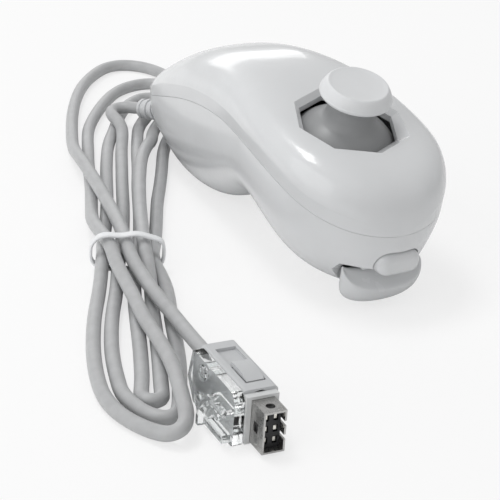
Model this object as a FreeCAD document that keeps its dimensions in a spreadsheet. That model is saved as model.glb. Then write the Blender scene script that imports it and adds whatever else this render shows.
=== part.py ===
import FreeCAD, Part
import math
import os
import re
import Sketcher
from FreeCAD import Placement, Rotation, Vector

# One-handed motion game controller with thumbstick, front button, trigger, corded plug.
# Millimetres. Z is up, the nose points along -Y, the floor is z 0, x 0 is the middle plane.

os.makedirs("parts", exist_ok=True)
doc = FreeCAD.newDocument("controller")

SIZES = {
    # casing
    "casing_length": 109.0,
    "casing_width": 40.6,
    "casing_height": 42.5,
    "wall": 2.0,
    "seam_gap": 0.15,
    "seam_line": 0.08,
    "seam_step": 0.5,
    "nose_place": -53.65,
    # stick gate, in a tilted frame whose origin is on the gate's rim
    "gate_place": -28.62,
    "gate_level": 36.47,
    "gate_tilt": 14.08,
    "gate_radius": 11.6,
    "gate_lip": 1.5,
    "collar_radius": 14.5,
    # stick
    "pivot_depth": 13.0,
    "boot_radius": 15.2,
    "boot_wall": 1.2,
    "boot_edge": 24.0,
    "neck_radius": 5.6,
    "cap_seat": 7.0,
    "cap_radius": 8.2,
    "cap_height": 3.9,
    "shaft_radius": 2.0,
    "pin_radius": 0.8,
    "running": 0.05,
    "foot_length": 4.0,
    "foot_radius": 1.2,
    # stick mechanism
    "base_side": 18.4,
    "base_wall": 1.2,
    "base_floor": 0.6,
    "base_depth": 21.0,
    "base_rim": 9.5,
    "axle_radius": 1.25,
    "cradle_width": 9.0,
    "cradle_depth": 6.6,
    "cradle_height": 5.0,
    "arch_radius": 5.6,
    "arch_thickness": 1.6,
    "arch_width": 6.0,
    "plate_radius": 4.0,
    "plate_thickness": 0.6,
    "plate_gap": 0.4,
    "spring_wire": 0.4,
    "spring_radius": 3.0,
    "spring_turns": 2,
    "sensor_thickness": 2.8,
    "sensor_side": 7.6,
    # main board, in the gate's frame
    "board_thickness": 1.6,
    "board_half": 12.2,
    "board_front": -13.0,
    "board_back": 19.0,
    "chip_height": 0.9,
    "stud_radius": 2.3,
    "tap_radius": 0.8,
    "play": 0.3,
    # case screws
    "front_post": -1.0,
    "back_post": 30.0,
    "front_joint": 24.0,
    "back_joint": 15.5,
    "boss_radius": 2.4,
    "screw_radius": 1.1,
    "screw_length": 10.0,
    "head_radius": 2.2,
    "head_height": 1.6,
    # small button
    "button_width": 11.0,
    "button_height": 5.5,
    "button_level": 12.95,
    "button_tip": -55.35,
    "button_flange": -48.3,
    "button_round": 2.1,
    "button_reach": -42.5,
    "plunger_radius": 1.3,
    "plunger_level": 12.0,
    # trigger
    "pivot_place": -42.0,
    "pivot_level": 14.8,
    "trigger_pin": 0.95,
    "trigger_half": 10.5,
    "arm_inner": 6.5,
    "arm_outer": 8.3,
    "arm_radius": 1.9,
    "trigger_reach": -42.0,
    "trigger_post": 8.3,
    "opening_half": 10.95,
    # button board
    "pad_face": -39.55,
    "pad_thickness": 0.8,
    "dome_height": 1.45,
    "dome_radius": 1.7,
    "small_board_half": 6.5,
    "small_board_low": 6.4,
    "small_board_high": 20.5,
    "small_board_thickness": 1.2,
    # cord
    "cord_radius": 1.6,
    "relief_radius": 3.0,
    "relief_core": 2.4,
    "flange_lip": 1.3,
    "flange_thickness": 1.5,
    "wire_radius": 1.0,
    "tie_width": 2.0,
    "tie_thickness": 0.8,
    # plug, in its own frame on the floor
    "plug_across": -54.2,
    "plug_along": -80.0,
    "plug_turn": -4.5,
    "housing_left": -3.4,
    "housing_right": 4.2,
    "housing_front": -5.9,
    "housing_back": 13.6,
    "housing_low": 0.5,
    "housing_top": 11.4,
    "case_left": -5.6,
    "latch_foot": 0.1,
    "metal_left": -2.1,
    "metal_right": 2.8,
    "metal_low": 0.9,
    "metal_top": 10.0,
    "metal_mouth": -12.9,
    "metal_root": -1.0,
    "metal_wall": 0.4,
    "frame_front": -7.5,
}

sheet = doc.addObject("Spreadsheet::Sheet", "sizes")
for number, (alias, amount) in enumerate(SIZES.items(), start=1):
    sheet.set("A%d" % number, alias)
    sheet.set("B%d" % number, str(amount))
    sheet.setAlias("B%d" % number, alias)
working = doc.addObject("Spreadsheet::Sheet", "working")
doc.recompute()


def bound(text):
    """Expression text with every size name pointed at the sheet."""
    return re.sub(r"[a-z][a-z_]+[a-z]",
                  lambda word: ("sizes." if word.group() in SIZES else "") + word.group(), text)


def amount_of(text):
    """Number that an expression has now."""
    working.set("A1", "=" + bound(text))
    working.recompute()
    return float(working.get("A1"))


def size(name):
    return float(sheet.get(name))


# General helpers

def place(piece, at=("0", "0", "0"), turn=None):
    piece.Placement = Placement(Vector(), turn or Rotation())
    for axis, text in zip("xyz", at):
        piece.setExpression("Placement.Base." + axis, bound(text))
    return piece


def in_gate(piece):
    """Stand a piece that was drawn about the gate's rim in the casing."""
    place(piece, ("0", "gate_place", "gate_level"), Rotation(Vector(1, 0, 0), size("gate_tilt")))
    piece.setExpression("Placement.Rotation.Angle", bound("gate_tilt"))
    return piece


def in_plug(piece):
    """Stand a piece that was drawn in the plug's own frame on the floor."""
    place(piece, ("plug_across", "plug_along", "0"), Rotation(Vector(0, 0, 1), size("plug_turn")))
    piece.setExpression("Placement.Rotation.Angle", bound("plug_turn"))
    return piece


def made(kind, name, sizes):
    piece = doc.addObject(kind, name)
    for prop, text in sizes.items():
        piece.setExpression(prop, bound(text))
    return piece


TO_X = Rotation(Vector(0, 1, 0), 90)
TO_Y = Rotation(Vector(1, 0, 0), -90)


def block(name, x, y, z):
    """Box between pairs of limits."""
    spans = ["(%s) - (%s)" % (limits[1], limits[0]) for limits in (x, y, z)]
    piece = made("Part::Box", name, dict(zip(("Length", "Width", "Height"), spans)))
    return place(piece, (x[0], y[0], z[0]))


def rod(name, radius, length, at, turn=None):
    """Cylinder from its foot at a place, standing up or turned to x or y."""
    return place(made("Part::Cylinder", name, {"Radius": radius, "Height": length}), at, turn)


def cone(name, foot, top, height, at, turn=None):
    return place(made("Part::Cone", name, {"Radius1": foot, "Radius2": top, "Height": height}), at, turn)


def ball(name, radius, at, low=None):
    piece = made("Part::Sphere", name, {"Radius": radius})
    if low:
        piece.setExpression("Angle1", bound(low))
    return place(piece, at)


def cut(name, base, tool):
    piece = doc.addObject("Part::Cut", name)
    piece.Base = base
    piece.Tool = tool
    return piece


def fuse(name, pieces):
    """Union of several pieces, or a holder that can be placed round a single one."""
    if len(pieces) == 1:
        piece = doc.addObject("Part::Compound", name)
        piece.Links = pieces
        return piece
    piece = doc.addObject("Part::MultiFuse", name)
    piece.Shapes = pieces
    return piece


def common(name, pieces):
    piece = doc.addObject("Part::MultiCommon", name)
    piece.Shapes = pieces
    return piece


def carve(name, base, tools):
    return cut(name, base, tools[0] if len(tools) == 1 else fuse(name + "_tools", tools))


def shaped(name, shape):
    piece = doc.addObject("Part::Feature", name)
    piece.Shape = shape
    return piece


# Sketched pieces

def new_body(name):
    return doc.addObject("PartDesign::Body", name)


def fix_point(sketch, index, end, x, y):
    """Hold a sketch point at two expressions from the sketch's origin."""
    for kind, text, line in (("DistanceX", x, -2), ("DistanceY", y, -1)):
        if text == "0":
            sketch.addConstraint(Sketcher.Constraint("PointOnObject", index, end, line))
            continue
        held = sketch.addConstraint(Sketcher.Constraint(kind, -1, 1, index, end, amount_of(text)))
        sketch.setExpression("Constraints[%d]" % held, bound(text))


def drawing(body, name, role, path=(), circles=(), lift=None):
    """Closed outline through points; a point with four entries is reached by an arc through the last two."""
    sketch = body.newObject("Sketcher::SketchObject", name)
    plane = [feature for feature in body.Origin.OriginFeatures if feature.Role == role][0]
    sketch.AttachmentSupport = [(plane, "")]
    sketch.MapMode = "FlatFace"
    if lift:
        sketch.setExpression("AttachmentOffset.Base.z", bound(lift))
    spots = [Vector(amount_of(point[0]), amount_of(point[1]), 0) for point in path]
    ends = []
    for number, point in enumerate(path):
        start, finish = spots[number - 1], spots[number]
        if len(point) == 4:
            middle = Vector(amount_of(point[2]), amount_of(point[3]), 0)
            forward = (middle - start).cross(finish - start).z > 0
            index = sketch.addGeometry(Part.Arc(start, middle, finish) if forward else Part.Arc(finish,
                                                                                                middle,
                                                                                                start))
            ends.append((index, 1 if forward else 2, 2 if forward else 1))
            spot = sketch.addGeometry(Part.Point(middle), True)
            sketch.addConstraint(Sketcher.Constraint("PointOnObject", spot, 1, index))
            fix_point(sketch, spot, 1, point[2], point[3])
        else:
            index = sketch.addGeometry(Part.LineSegment(start, finish))
            ends.append((index, 1, 2))
    for number, (index, first, last) in enumerate(ends):
        following = ends[(number + 1) % len(ends)]
        sketch.addConstraint(Sketcher.Constraint("Coincident", index, last, following[0], following[1]))
        fix_point(sketch, index, last, path[number][0], path[number][1])
    for x, y, radius in circles:
        centre = Vector(amount_of(x), amount_of(y), 0)
        index = sketch.addGeometry(Part.Circle(centre, Vector(0, 0, 1), amount_of(radius)))
        held = sketch.addConstraint(Sketcher.Constraint("Radius", index, amount_of(radius)))
        sketch.setExpression("Constraints[%d]" % held, bound(radius))
        fix_point(sketch, index, 3, x, y)
    doc.recompute()
    return sketch


def pad(body, sketch, length, midplane=False, back=False):
    feature = body.newObject("PartDesign::Pad", sketch.Name + "_pad")
    feature.Profile = sketch
    feature.setExpression("Length", bound(length))
    feature.Midplane = midplane
    feature.Reversed = back
    doc.recompute()
    return feature


def turned(body, sketch):
    feature = body.newObject("PartDesign::Revolution", sketch.Name + "_turned")
    feature.Profile = sketch
    feature.ReferenceAxis = (sketch, ["V_Axis"])
    feature.Angle = 360
    doc.recompute()
    return feature


def lathe(name, path):
    """Body turned about z from a half outline in r and z."""
    body = new_body(name)
    turned(body, drawing(body, name + "_outline", "XZ_Plane", path))
    return body


def rounded(body, name, radius, chosen):
    """Fillet on the edges of the last feature that a test picks."""
    base = body.Tip
    names = ["Edge%d" % (number + 1) for number, edge in enumerate(base.Shape.Edges) if chosen(edge)]
    feature = body.newObject("PartDesign::Fillet", name)
    feature.Base = (base, names)
    feature.setExpression("Radius", bound(radius))
    doc.recompute()
    return feature


NODES = {}


def node(name, piece):
    """Name a finished sub-part; the name is its file's too."""
    piece.Label = name
    NODES[name] = piece
    return piece


# Casing: stations along the handle, from the nose

STATIONS = (
    # from nose, half width, top, seam, bottom, crown power, keel power
    (0.0, 0.0, 20.75, 19.75, 16.75, 2.8, 1.6),
    (0.9, 6.6, 26.8, 20.2, 10.8, 3.0, 1.5),
    (4.0, 12.4, 31.1, 21.3, 5.9, 3.5, 1.45),
    (9.0, 16.7, 34.0, 23.0, 3.4, 3.9, 1.6),
    (15.5, 19.3, 36.2, 25.1, 3.0, 4.2, 2.1),
    (25.5, 20.3, 38.1, 27.8, 6.3, 4.5, 2.8),
    (37.5, 19.5, 40.7, 29.6, 11.6, 4.2, 3.1),
    (49.5, 17.8, 42.5, 30.1, 10.6, 3.4, 3.0),
    (61.5, 16.4, 42.1, 29.1, 4.3, 2.8, 2.6),
    (75.5, 14.8, 38.3, 26.1, 0.4, 2.6, 2.4),
    (88.5, 12.6, 32.1, 21.7, 0.3, 2.5, 2.2),
    (99.5, 9.9, 25.4, 17.6, 2.6, 2.4, 2.0),
    (106.0, 7.0, 20.4, 14.8, 5.2, 2.3, 2.0),
    (109.0, 0.0, 13.7, 13.1, 12.3, 2.2, 2.1),
)
LONG = size("casing_length") / STATIONS[-1][0]
WIDE = size("casing_width") / 40.6
TALL = size("casing_height") / 42.5
WALL = size("wall")
STEP = size("seam_step")


def station_curve():
    """Spline through the stations, one parameter for all of their values."""
    rows = [(s[0] * LONG, s[1] * WIDE, s[2] * TALL, s[3] * TALL, s[4] * TALL, s[5], s[6]) for s in STATIONS]
    reach = [0.0]
    for one, two in zip(rows, rows[1:]):
        across = max(abs(two[1] - one[1]), abs((two[2] - two[4]) - (one[2] - one[4])) / 2)
        reach.append(reach[-1] + math.hypot(two[0] - one[0], across))
    splines = []
    for column in ((0, 1, 2), (3, 4, 5), (0, 6, 6)):
        spline = Part.BSplineCurve()
        points = [Vector(*(row[index] for index in column)) for row in rows]
        spline.interpolate(Points=points, Parameters=[r / reach[-1] for r in reach])
        splines.append(spline)
    return splines


CURVE = station_curve()


def station(share):
    first, second, third = (spline.value(share) for spline in CURVE)
    return (first.x, first.y, first.z, second.x, second.y, second.z, third.y)


def half_outline(width, height, power, count, low, high):
    """Points of a rounded dome from one side angle to the other."""
    points = []
    for index in range(count + 1):
        angle = low + (high - low) * index / count
        across = abs(math.cos(angle)) / width
        up = abs(math.sin(angle)) / height
        radius = (across ** power + up ** power) ** (-1 / power)
        points.append((radius * math.cos(angle), radius * math.sin(angle)))
    return points


def smooth(points):
    spline = Part.BSplineCurve()
    spline.interpolate(Points=points, Parameters=[index / (len(points) - 1) for index in range(len(points))])
    return spline.toShape()


# How far the hollows reach past the seam, so that each half is open there
PAST_SEAM = 1.0


def top_wire(row, inset):
    """Upper half section: a narrow band over the seam, then the dome."""
    along, width, top, seam, _, crown, _ = row
    w = width - inset
    height = top - seam - inset
    rise = min(3.4, 0.35 * height)
    side = math.atan2(rise, w * (1 - (rise / height) ** crown) ** (1 / crown))
    dome = [Vector(x, along, seam + z) for x, z in half_outline(w, height, crown, 16, side, math.pi - side)]
    foot = max(w - STEP, 0.4) if inset == 0 else w
    base = seam if inset == 0 else seam - PAST_SEAM
    right = Vector(foot, along, base)
    left = Vector(-foot, along, base)
    edges = [Part.makeLine(right, dome[0]), smooth(dome), Part.makeLine(dome[-1], left),
             Part.makeLine(left, right)]
    return Part.Wire(edges)


def bottom_wire(row, inset):
    along, width, _, seam, low, _, keel = row
    if inset == 0:
        seam = seam - size("seam_line")
    w = max(width - STEP, 0.4) if inset == 0 else width - inset
    height = seam - low - inset
    belly = [Vector(x, along, seam - z) for x, z in half_outline(w, height, keel, 16, 0, math.pi)]
    if inset == 0:
        return Part.Wire([smooth(belly), Part.makeLine(belly[-1], belly[0])])
    left = belly[-1] + Vector(0, 0, PAST_SEAM)
    right = belly[0] + Vector(0, 0, PAST_SEAM)
    sides = [Part.makeLine(belly[-1], left), Part.makeLine(left, right), Part.makeLine(right, belly[0])]
    return Part.Wire([smooth(belly)] + sides)


def skin(wire, inset, count):
    """Loft of one half of the casing, drawn in by the inset."""
    total = size("casing_length")
    wires = []
    for index in range(count):
        share = 0.5 - 0.5 * math.cos(math.pi * (0.035 + 0.93 * index / (count - 1)))
        row = list(station(share))
        row[0] = (row[0] - total / 2) * (total - 2 * inset) / total + total / 2 + size("nose_place")
        if inset == 0 or (row[1] > inset + 1.2 and min(row[2] - row[3], row[3] - row[4]) > inset + 1.2):
            wires.append(wire(row, inset))
    return Part.makeLoft(wires, True, False)


def casing_half(name, wire):
    outside = shaped(name + "_outside", skin(wire, 0, 24))
    inside = shaped(name + "_inside", skin(wire, WALL, 20))
    doc.recompute()
    return outside, inside


def octagon(radius, level):
    points = []
    for index in range(9):
        angle = math.radians(90 + 45 * index)
        points.append(Vector(radius * math.cos(angle), radius * math.sin(angle), level))
    return Part.makePolygon(points)


def gate_cutter():
    """Eight sided opening with its bevel up to the skin."""
    reach = size("gate_radius")
    levels = ((reach, -6), (reach, 0), (reach + 2.0, 1.6), (reach + 3.75, 3), (reach + 3.75, 9))
    return in_gate(shaped("gate_cutter", Part.makeLoft([octagon(r, z) for r, z in levels], True, True)))


def post(name, along, radius, low, high):
    return rod(name, radius, "(%s) - (%s)" % (high, low), ("0", along, low))


def stadium(name, grow, back, front):
    """Body of the small button's outline, swept along the nose."""
    body = new_body(name)
    wide = "(button_width / 2 - button_height / 2)"
    tall = "(button_height / 2 + %s)" % grow
    path = (
        (wide, "-" + tall),
        (wide, tall, wide + " + " + tall, "0"),
        ("-" + wide, tall),
        ("-" + wide, "-" + tall, "-" + wide + " - " + tall, "0"),
    )
    pad(body, drawing(body, name + "_outline", "XZ_Plane", path), "(%s) - (%s)" % (back, front))
    return place(body, ("0", back, "button_level"))


def side_plate(name, path, width):
    """Body drawn in y and z, padded equally to both sides of the middle plane."""
    body = new_body(name)
    pad(body, drawing(body, name + "_outline", "YZ_Plane", path), width, midplane=True)
    return body


def trigger_opening():
    path = (("-60", "-5"), ("-40.1", "-5"), ("-41.7", "5.8"), ("-42.9", "9"), ("-45.8", "11.6"),
            ("-60", "11.6"))
    return side_plate("trigger_opening", path, "2 * opening_half")


TAIL = size("nose_place") + size("casing_length")
RELIEF_AXIS = (Vector(0.4, TAIL - 5.85, 14.2), Vector(-0.6, TAIL + 0.75, 8.5), Vector(-3.0, TAIL + 7.85, 6.7))
RELIEF_LEAN = (RELIEF_AXIS[1] - RELIEF_AXIS[0]).normalize()
RELIEF_WAY = (RELIEF_AXIS[2] - RELIEF_AXIS[1]).normalize()


def along_line(name, radius, start, finish):
    """Cylinder between two points."""
    run = finish - start
    piece = made("Part::Cylinder", name, {"Radius": radius})
    piece.Height = run.Length
    piece.Placement = Placement(start, Rotation(Vector(0, 0, 1), run))
    return piece


def relief_hole(name):
    """Bore for the relief's neck and the groove that holds its flange."""
    start = RELIEF_AXIS[0]
    play = size("play")
    bore = along_line(name + "_bore", "relief_radius + play", start + RELIEF_LEAN, start + RELIEF_LEAN * 14)
    far = start + RELIEF_LEAN * (size("flange_thickness") + play)
    groove = along_line(name + "_groove", "relief_radius + flange_lip + play", start - RELIEF_LEAN * play,
                        far)
    return fuse(name, [bore, groove])


def top_shell():
    outside, inside = casing_half("top", top_wire)
    hollow = cut("top_hollow", outside, inside)
    drum = in_gate(fuse("collar_drum", [rod("collar_core", "collar_radius", "12", ("0", "0", "-gate_lip"))]))
    rim = common("collar", [drum, outside])
    front = common("front_boss",
                   [post("front_boss_rod", "front_post", "boss_radius", "front_joint", "60"), outside])
    back = common("back_boss",
                  [post("back_boss_rod", "back_post", "boss_radius", "back_joint", "60"), outside])
    solid = fuse("top_solid", [hollow, rim, front, back])
    bores = [gate_cutter(), relief_hole("top_relief_hole")]
    for name, along, joint in (("front", "front_post", "front_joint"), ("back", "back_post", "back_joint")):
        bores.append(post(name + "_tap", along, "screw_radius + running", joint + " - 1",
                          joint + " + screw_length - 1"))
    return node("top_shell", carve("top_shell_cut", solid, bores))


def bottom_shell():
    outside, inside = casing_half("bottom", bottom_wire)
    hollow = cut("bottom_hollow", outside, inside)
    inner = []
    for name, along, joint in (("front", "front_post", "front_joint"), ("back", "back_post", "back_joint")):
        inner.append(post(name + "_tube", along, "head_radius + 1.2", "-5", joint + " - seam_gap"))
    for side in (-1, 1):
        start = "%d * (arm_outer + 0.35)" % side if side > 0 else "-14.2"
        inner.append(rod("pin_boss", "2.3", "14.2 - arm_outer - 0.35",
                         (start, "pivot_place", "pivot_level"), TO_X))
        low = "small_board_half - 0.3" if side > 0 else "-small_board_half - 1.5"
        high = "small_board_half + 1.5" if side > 0 else "-small_board_half + 0.3"
        back = "pad_face + pad_thickness + small_board_thickness + 0.8"
        inner.append(block("board_guide", (low, high), ("pad_face", back), ("0", "16")))
    ribs = common("bottom_ribs", [fuse("bottom_rib_rods", inner), outside])
    studs = common("board_studs",
                   [in_gate(fuse("board_stud_rods",
                                 stud_rods("stud_radius", "-40", "-base_depth - board_thickness"))), outside])
    solid = fuse("bottom_solid", [hollow, ribs, studs])
    tools = [trigger_opening(), stadium("button_opening", "play - 0.05", "-48.5", "-60"),
             relief_hole("bottom_relief_hole")]
    for name, along, joint in (("front", "front_post", "front_joint"), ("back", "back_post", "back_joint")):
        seat = joint + " - seam_gap - 2.4"
        tools.append(post(name + "_counterbore", along, "head_radius + play", "-6", seat))
        tools.append(post(name + "_clear", along, "screw_radius + play / 2", "-6", joint + " + 1"))
    tools.append(rod("pin_bore", "trigger_pin + running", "24.4", ("-12.2", "pivot_place", "pivot_level"),
                     TO_X))
    half = "button_width / 2 + 0.8 + play"
    tools.append(block("flange_seat", ("-(%s)" % half, half),
                       ("button_flange - 1 - play", "button_flange + 3"),
                       ("button_level - button_height / 2 - play",
                        "button_level + button_height / 2 + 0.2 + play")))
    for side in (("arm_inner - play", "arm_outer + play"), ("-arm_outer - play", "-arm_inner + play")):
        tools.append(block("arm_slot", side, ("pivot_place - 4.4", "pivot_place + 0.5"),
                           ("5.6", "pivot_level - 1.3")))
    slot = ("pad_face + pad_thickness - running",
            "pad_face + pad_thickness + small_board_thickness + running")
    reach = "small_board_half + running"
    tools.append(block("guide_slot", ("-(%s)" % reach, reach), slot, ("small_board_low - running", "30")))
    tools.append(in_gate(fuse("stud_taps",
                              stud_rods("tap_radius + running", "-base_depth - board_thickness - 4.2", "0"))))
    return node("bottom_shell", carve("bottom_shell_cut", solid, tools))


# Places of the board's two screws, in the gate's frame
BOARD_SCREWS = (("-board_half + 2.4", "board_front + 2.1"), ("board_half - 2.4", "board_front + 2.1"))


def stud_rods(radius, low, high):
    return [rod("stud", radius, "(%s) - (%s)" % (high, low), (x, y, low)) for x, y in BOARD_SCREWS]


# Stick, drawn in the gate's frame

PIVOT = "-pivot_depth"


def stick_cap():
    path = (
        ("0", "cap_seat"),
        ("cap_radius - 0.6", "cap_seat"),
        ("cap_radius", "cap_seat + 0.9", "cap_radius - 0.12", "cap_seat + 0.4"),
        ("cap_radius - 1.9", "cap_seat + cap_height", "cap_radius - 0.62", "cap_seat + 2.7"),
        ("0", "cap_seat + cap_height - 0.5", "cap_radius / 2 - 1", "cap_seat + cap_height - 0.36"),
    )
    cap = lathe("cap_blank", path)
    bore = rod("cap_bore", "shaft_radius + running", "1.9", ("0", "0", "cap_seat - 0.1"))
    return node("stick_cap", in_gate(cut("stick_cap_cut", cap, bore)))


def stick_boot():
    path = (
        ("0", "0"),
        ("neck_radius", "0"),
        ("neck_radius", "3.6"),
        ("cap_radius - 0.9", "cap_seat", "neck_radius + 0.65", "cap_seat - 1.1"),
        ("0", "cap_seat"),
    )
    neck = lathe("boot_neck", path)
    dome = ball("boot_dome", "boot_radius", ("0", "0", PIVOT), "boot_edge")
    inside = ball("boot_inside", "boot_radius - boot_wall", ("0", "0", PIVOT))
    bore = rod("boot_bore", "shaft_radius + running", "30", ("0", "0", "-10"))
    whole = fuse("boot_whole", [neck, dome])
    return node("stick_boot", in_gate(carve("stick_boot_cut", whole, [inside, bore])))


def stick_shaft():
    top = "cap_seat + 1.75"
    low = PIVOT + " - cradle_height / 2 + 0.4"
    shaft = rod("shaft_rod", "shaft_radius", "(%s) - (%s)" % (top, low), ("0", "0", low))
    foot = rod("shaft_foot", "foot_radius", "foot_length", ("0", "0", PIVOT + " - foot_length"))
    pin = rod("shaft_pin", "pin_radius", "cradle_depth", ("0", "-cradle_depth / 2", PIVOT), TO_Y)
    return node("stick_shaft", in_gate(fuse("stick_shaft_fuse", [shaft, foot, pin])))


def fore_aft_yoke():
    half = "cradle_width / 2"
    rise = "cradle_height / 2"
    cradle = block("cradle", ("-" + half, half), ("-cradle_depth / 2", "cradle_depth / 2"),
                   (PIVOT + " - " + rise, PIVOT + " + " + rise))
    left = "-(base_side / 2)"
    axle = rod("cradle_axle", "axle_radius", "base_side / 2 + base_side / 2 + 2.2", (left, "0", PIVOT), TO_X)
    slot = block("cradle_slot", ("-3.2", "3.2"), ("-shaft_radius - 0.15", "shaft_radius + 0.15"),
                 (PIVOT + " - 9", PIVOT + " + 9"))
    hole = rod("cradle_hole", "pin_radius + running", "cradle_depth + 2",
               ("0", "-cradle_depth / 2 - 1", PIVOT), TO_Y)
    return node("fore_aft_yoke",
                in_gate(carve("fore_aft_yoke_cut", fuse("cradle_whole", [cradle, axle]), [slot, hole])))


def side_yoke():
    half = "arch_width / 2"
    ring = rod("arch_ring", "arch_radius + arch_thickness", "arch_width", ("-" + half, "0", PIVOT), TO_X)
    lower = block("arch_lower", ("-9", "9"), ("-20", "20"), (PIVOT + " - 20", PIVOT + " - 1.6"))
    core = rod("arch_core", "arch_radius", "arch_width + 2", ("-" + half + " - 1", "0", PIVOT), TO_X)
    front = rod("arch_front_axle", "axle_radius", "base_side / 2 - arch_radius - 0.6",
                ("0", "-base_side / 2", PIVOT), TO_Y)
    back = rod("arch_back_axle", "axle_radius", "base_side / 2 + 2.2 - arch_radius - 0.6",
               ("0", "arch_radius + 0.6", PIVOT), TO_Y)
    slot = block("arch_slot", ("-shaft_radius - 0.25", "shaft_radius + 0.25"), ("-4.7", "4.7"),
                 (PIVOT + " + 2", PIVOT + " + 12"))
    arch = carve("arch", ring, [lower, core, slot])
    return node("side_yoke", in_gate(fuse("side_yoke_fuse", [arch, front, back])))


def stick_base():
    side = "base_side / 2"
    inner = side + " - base_wall"
    outer = block("base_block", ("-" + side, side), ("-" + side, side), ("-base_depth", "-base_rim"))
    room = block("base_room", ("-(%s)" % inner, inner), ("-(%s)" % inner, inner),
                 ("-base_depth + base_floor", "0"))
    across = rod("base_across", "axle_radius + running", "base_side + 2", ("-(%s) - 1" % side, "0", PIVOT),
                 TO_X)
    along = rod("base_along", "axle_radius + running", "base_side + 2", ("0", "-(%s) - 1" % side, PIVOT),
                TO_Y)
    return node("stick_base", in_gate(carve("stick_base_cut", outer, [room, across, along])))


PLATE_TOP = "-pivot_depth - foot_length - plate_gap"


def return_plate():
    plate = rod("plate_disc", "plate_radius", "plate_thickness", ("0", "0", PLATE_TOP + " - plate_thickness"))
    return node("return_plate", in_gate(fuse("return_plate_fuse", [plate])))


def return_spring():
    """Coil between the base's floor and the plate."""
    foot = "-base_depth + base_floor + running + spring_wire / 2"
    below = "base_floor - pivot_depth - foot_length - plate_gap - plate_thickness"
    room = "base_depth - " + below + " - 2 * running - spring_wire"
    reach = size("spring_radius")
    tall = amount_of(room)
    line = Part.makeHelix(tall / size("spring_turns"), tall, reach)
    section = Part.Wire([Part.Circle(Vector(reach, 0, 0), Vector(0, 1, 0),
                                     size("spring_wire") / 2).toShape()])
    coil = shaped("return_spring_coil", Part.Wire(line).makePipeShell([section], True, True))
    place(coil, ("0", "0", foot))
    return node("stick_return_spring", in_gate(fuse("return_spring_holder", [coil])))


def sensor(name, across):
    near = "base_side / 2"
    far = near + " + sensor_thickness"
    half = ("-sensor_side / 2", "sensor_side / 2")
    rise = (PIVOT + " - sensor_side / 2", PIVOT + " + sensor_side / 2 - 1.3")
    body = block(name + "_case", (near, far), half, rise) if across else block(name + "_case", half,
                                                                               (near, far), rise)
    at = (near + " - 1", "0", PIVOT) if across else ("0", near + " - 1", PIVOT)
    hole = rod(name + "_hole", "axle_radius + running", "sensor_thickness + 2", at, TO_X if across else TO_Y)
    return node(name, in_gate(cut(name + "_cut", body, hole)))


# Main board and what sits on it, in the gate's frame

BOARD_TOP = "-base_depth"


def main_board():
    body = new_body("board_blank")
    path = (
        ("-board_half", "board_front"),
        ("board_half", "board_front"),
        ("board_half", "board_back"),
        ("-board_half", "board_back"),
    )
    holes = [(x, y, "tap_radius + running") for x, y in BOARD_SCREWS]
    pad(body, drawing(body, "board_outline", "XY_Plane", path, holes, BOARD_TOP), "board_thickness",
        back=True)
    return node("main_board", in_gate(fuse("main_board_fuse", [body])))


def on_board(name, x, y, height):
    low = "-base_depth"
    return block(name, x, y, (low, low + " + " + height))


def controller_chip():
    chip = on_board("chip_case", ("-10.6", "-4.6"), ("13", "18"), "chip_height")
    return node("controller_chip", in_gate(fuse("controller_chip_fuse", [chip])))


def motion_sensor():
    chip = on_board("motion_case", ("-3.2", "0.8"), ("13.4", "17.4"), "chip_height")
    return node("motion_sensor", in_gate(fuse("motion_sensor_fuse", [chip])))


def board_capacitors():
    row = []
    for x in (-11.6, 10.1):
        for y in (-4, 0, 4, 8):
            limits = ((str(x), "%s + 1.4" % x), (str(y), "%s + 2" % y))
            row.append(on_board("capacitor", *limits, "1.1"))
    link = [on_board("capacitor_strip", ("%s" % x, "%s + 1.4" % x), ("-4", "10"), "0.2") for x in (-11.6,
                                                                                                   10.1)]
    left = fuse("capacitor_row_left", row[:4] + link[:1])
    return node("board_capacitors", in_gate(fuse("board_capacitors_fuse", [left])))


def screw_shape(prefix, x, y, under, shank, head, length, deep):
    """Pan head screw, head over the given level, with a cross slot."""
    top = "(%s) + %s" % (under, deep)
    body = rod(prefix + "_shank", shank, length, (x, y, "(%s) - (%s)" % (under, length)))
    cap = rod(prefix + "_head", head, deep, (x, y, under))
    slots = []
    for wide, tall in (("0.25", "1.1"), ("1.1", "0.25")):
        slots.append(block(prefix + "_slot", ("%s - %s" % (x, wide), "%s + %s" % (x, wide)),
                           ("%s - %s" % (y, tall), "%s + %s" % (y, tall)), (top + " - 0.5", top + " + 1")))
    return carve(prefix, fuse(prefix + "_blank", [body, cap]), slots)


def board_screws():
    screws = [screw_shape("board_screw", x, y, BOARD_TOP, "tap_radius", "1.6", "board_thickness + 4", "1.0")
              for x, y in BOARD_SCREWS]
    return node("board_screws", in_gate(fuse("board_screws_fuse", screws)))


SOCKET_X = ("2.6", "10.6")
SOCKET_Y = ("13.6", "17.8")


def lead_socket():
    outer = on_board("socket_case", SOCKET_X, SOCKET_Y, "3.4")
    inner = block("socket_room", (SOCKET_X[0] + " + 0.7", SOCKET_X[1] + " - 0.7"),
                  (SOCKET_Y[0] + " + 0.9", "board_back + 5"), (BOARD_TOP + " + 0.7", BOARD_TOP + " + 2.7"))
    return node("lead_socket", in_gate(cut("lead_socket_cut", outer, inner)))


LEAD_PLUG_BACK = "board_back + 1.4"


def lead_plug():
    """Plug of the wires, slid into the socket from the back."""
    rim = "(0.7 + running)"
    low = block("lead_plug_case", (SOCKET_X[0] + " + " + rim, SOCKET_X[1] + " - " + rim),
                (SOCKET_Y[0] + " + 1", LEAD_PLUG_BACK),
                (BOARD_TOP + " + " + rim, BOARD_TOP + " + 2.7 - running"))
    return node("lead_plug", in_gate(fuse("lead_plug_fuse", [low])))


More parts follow.
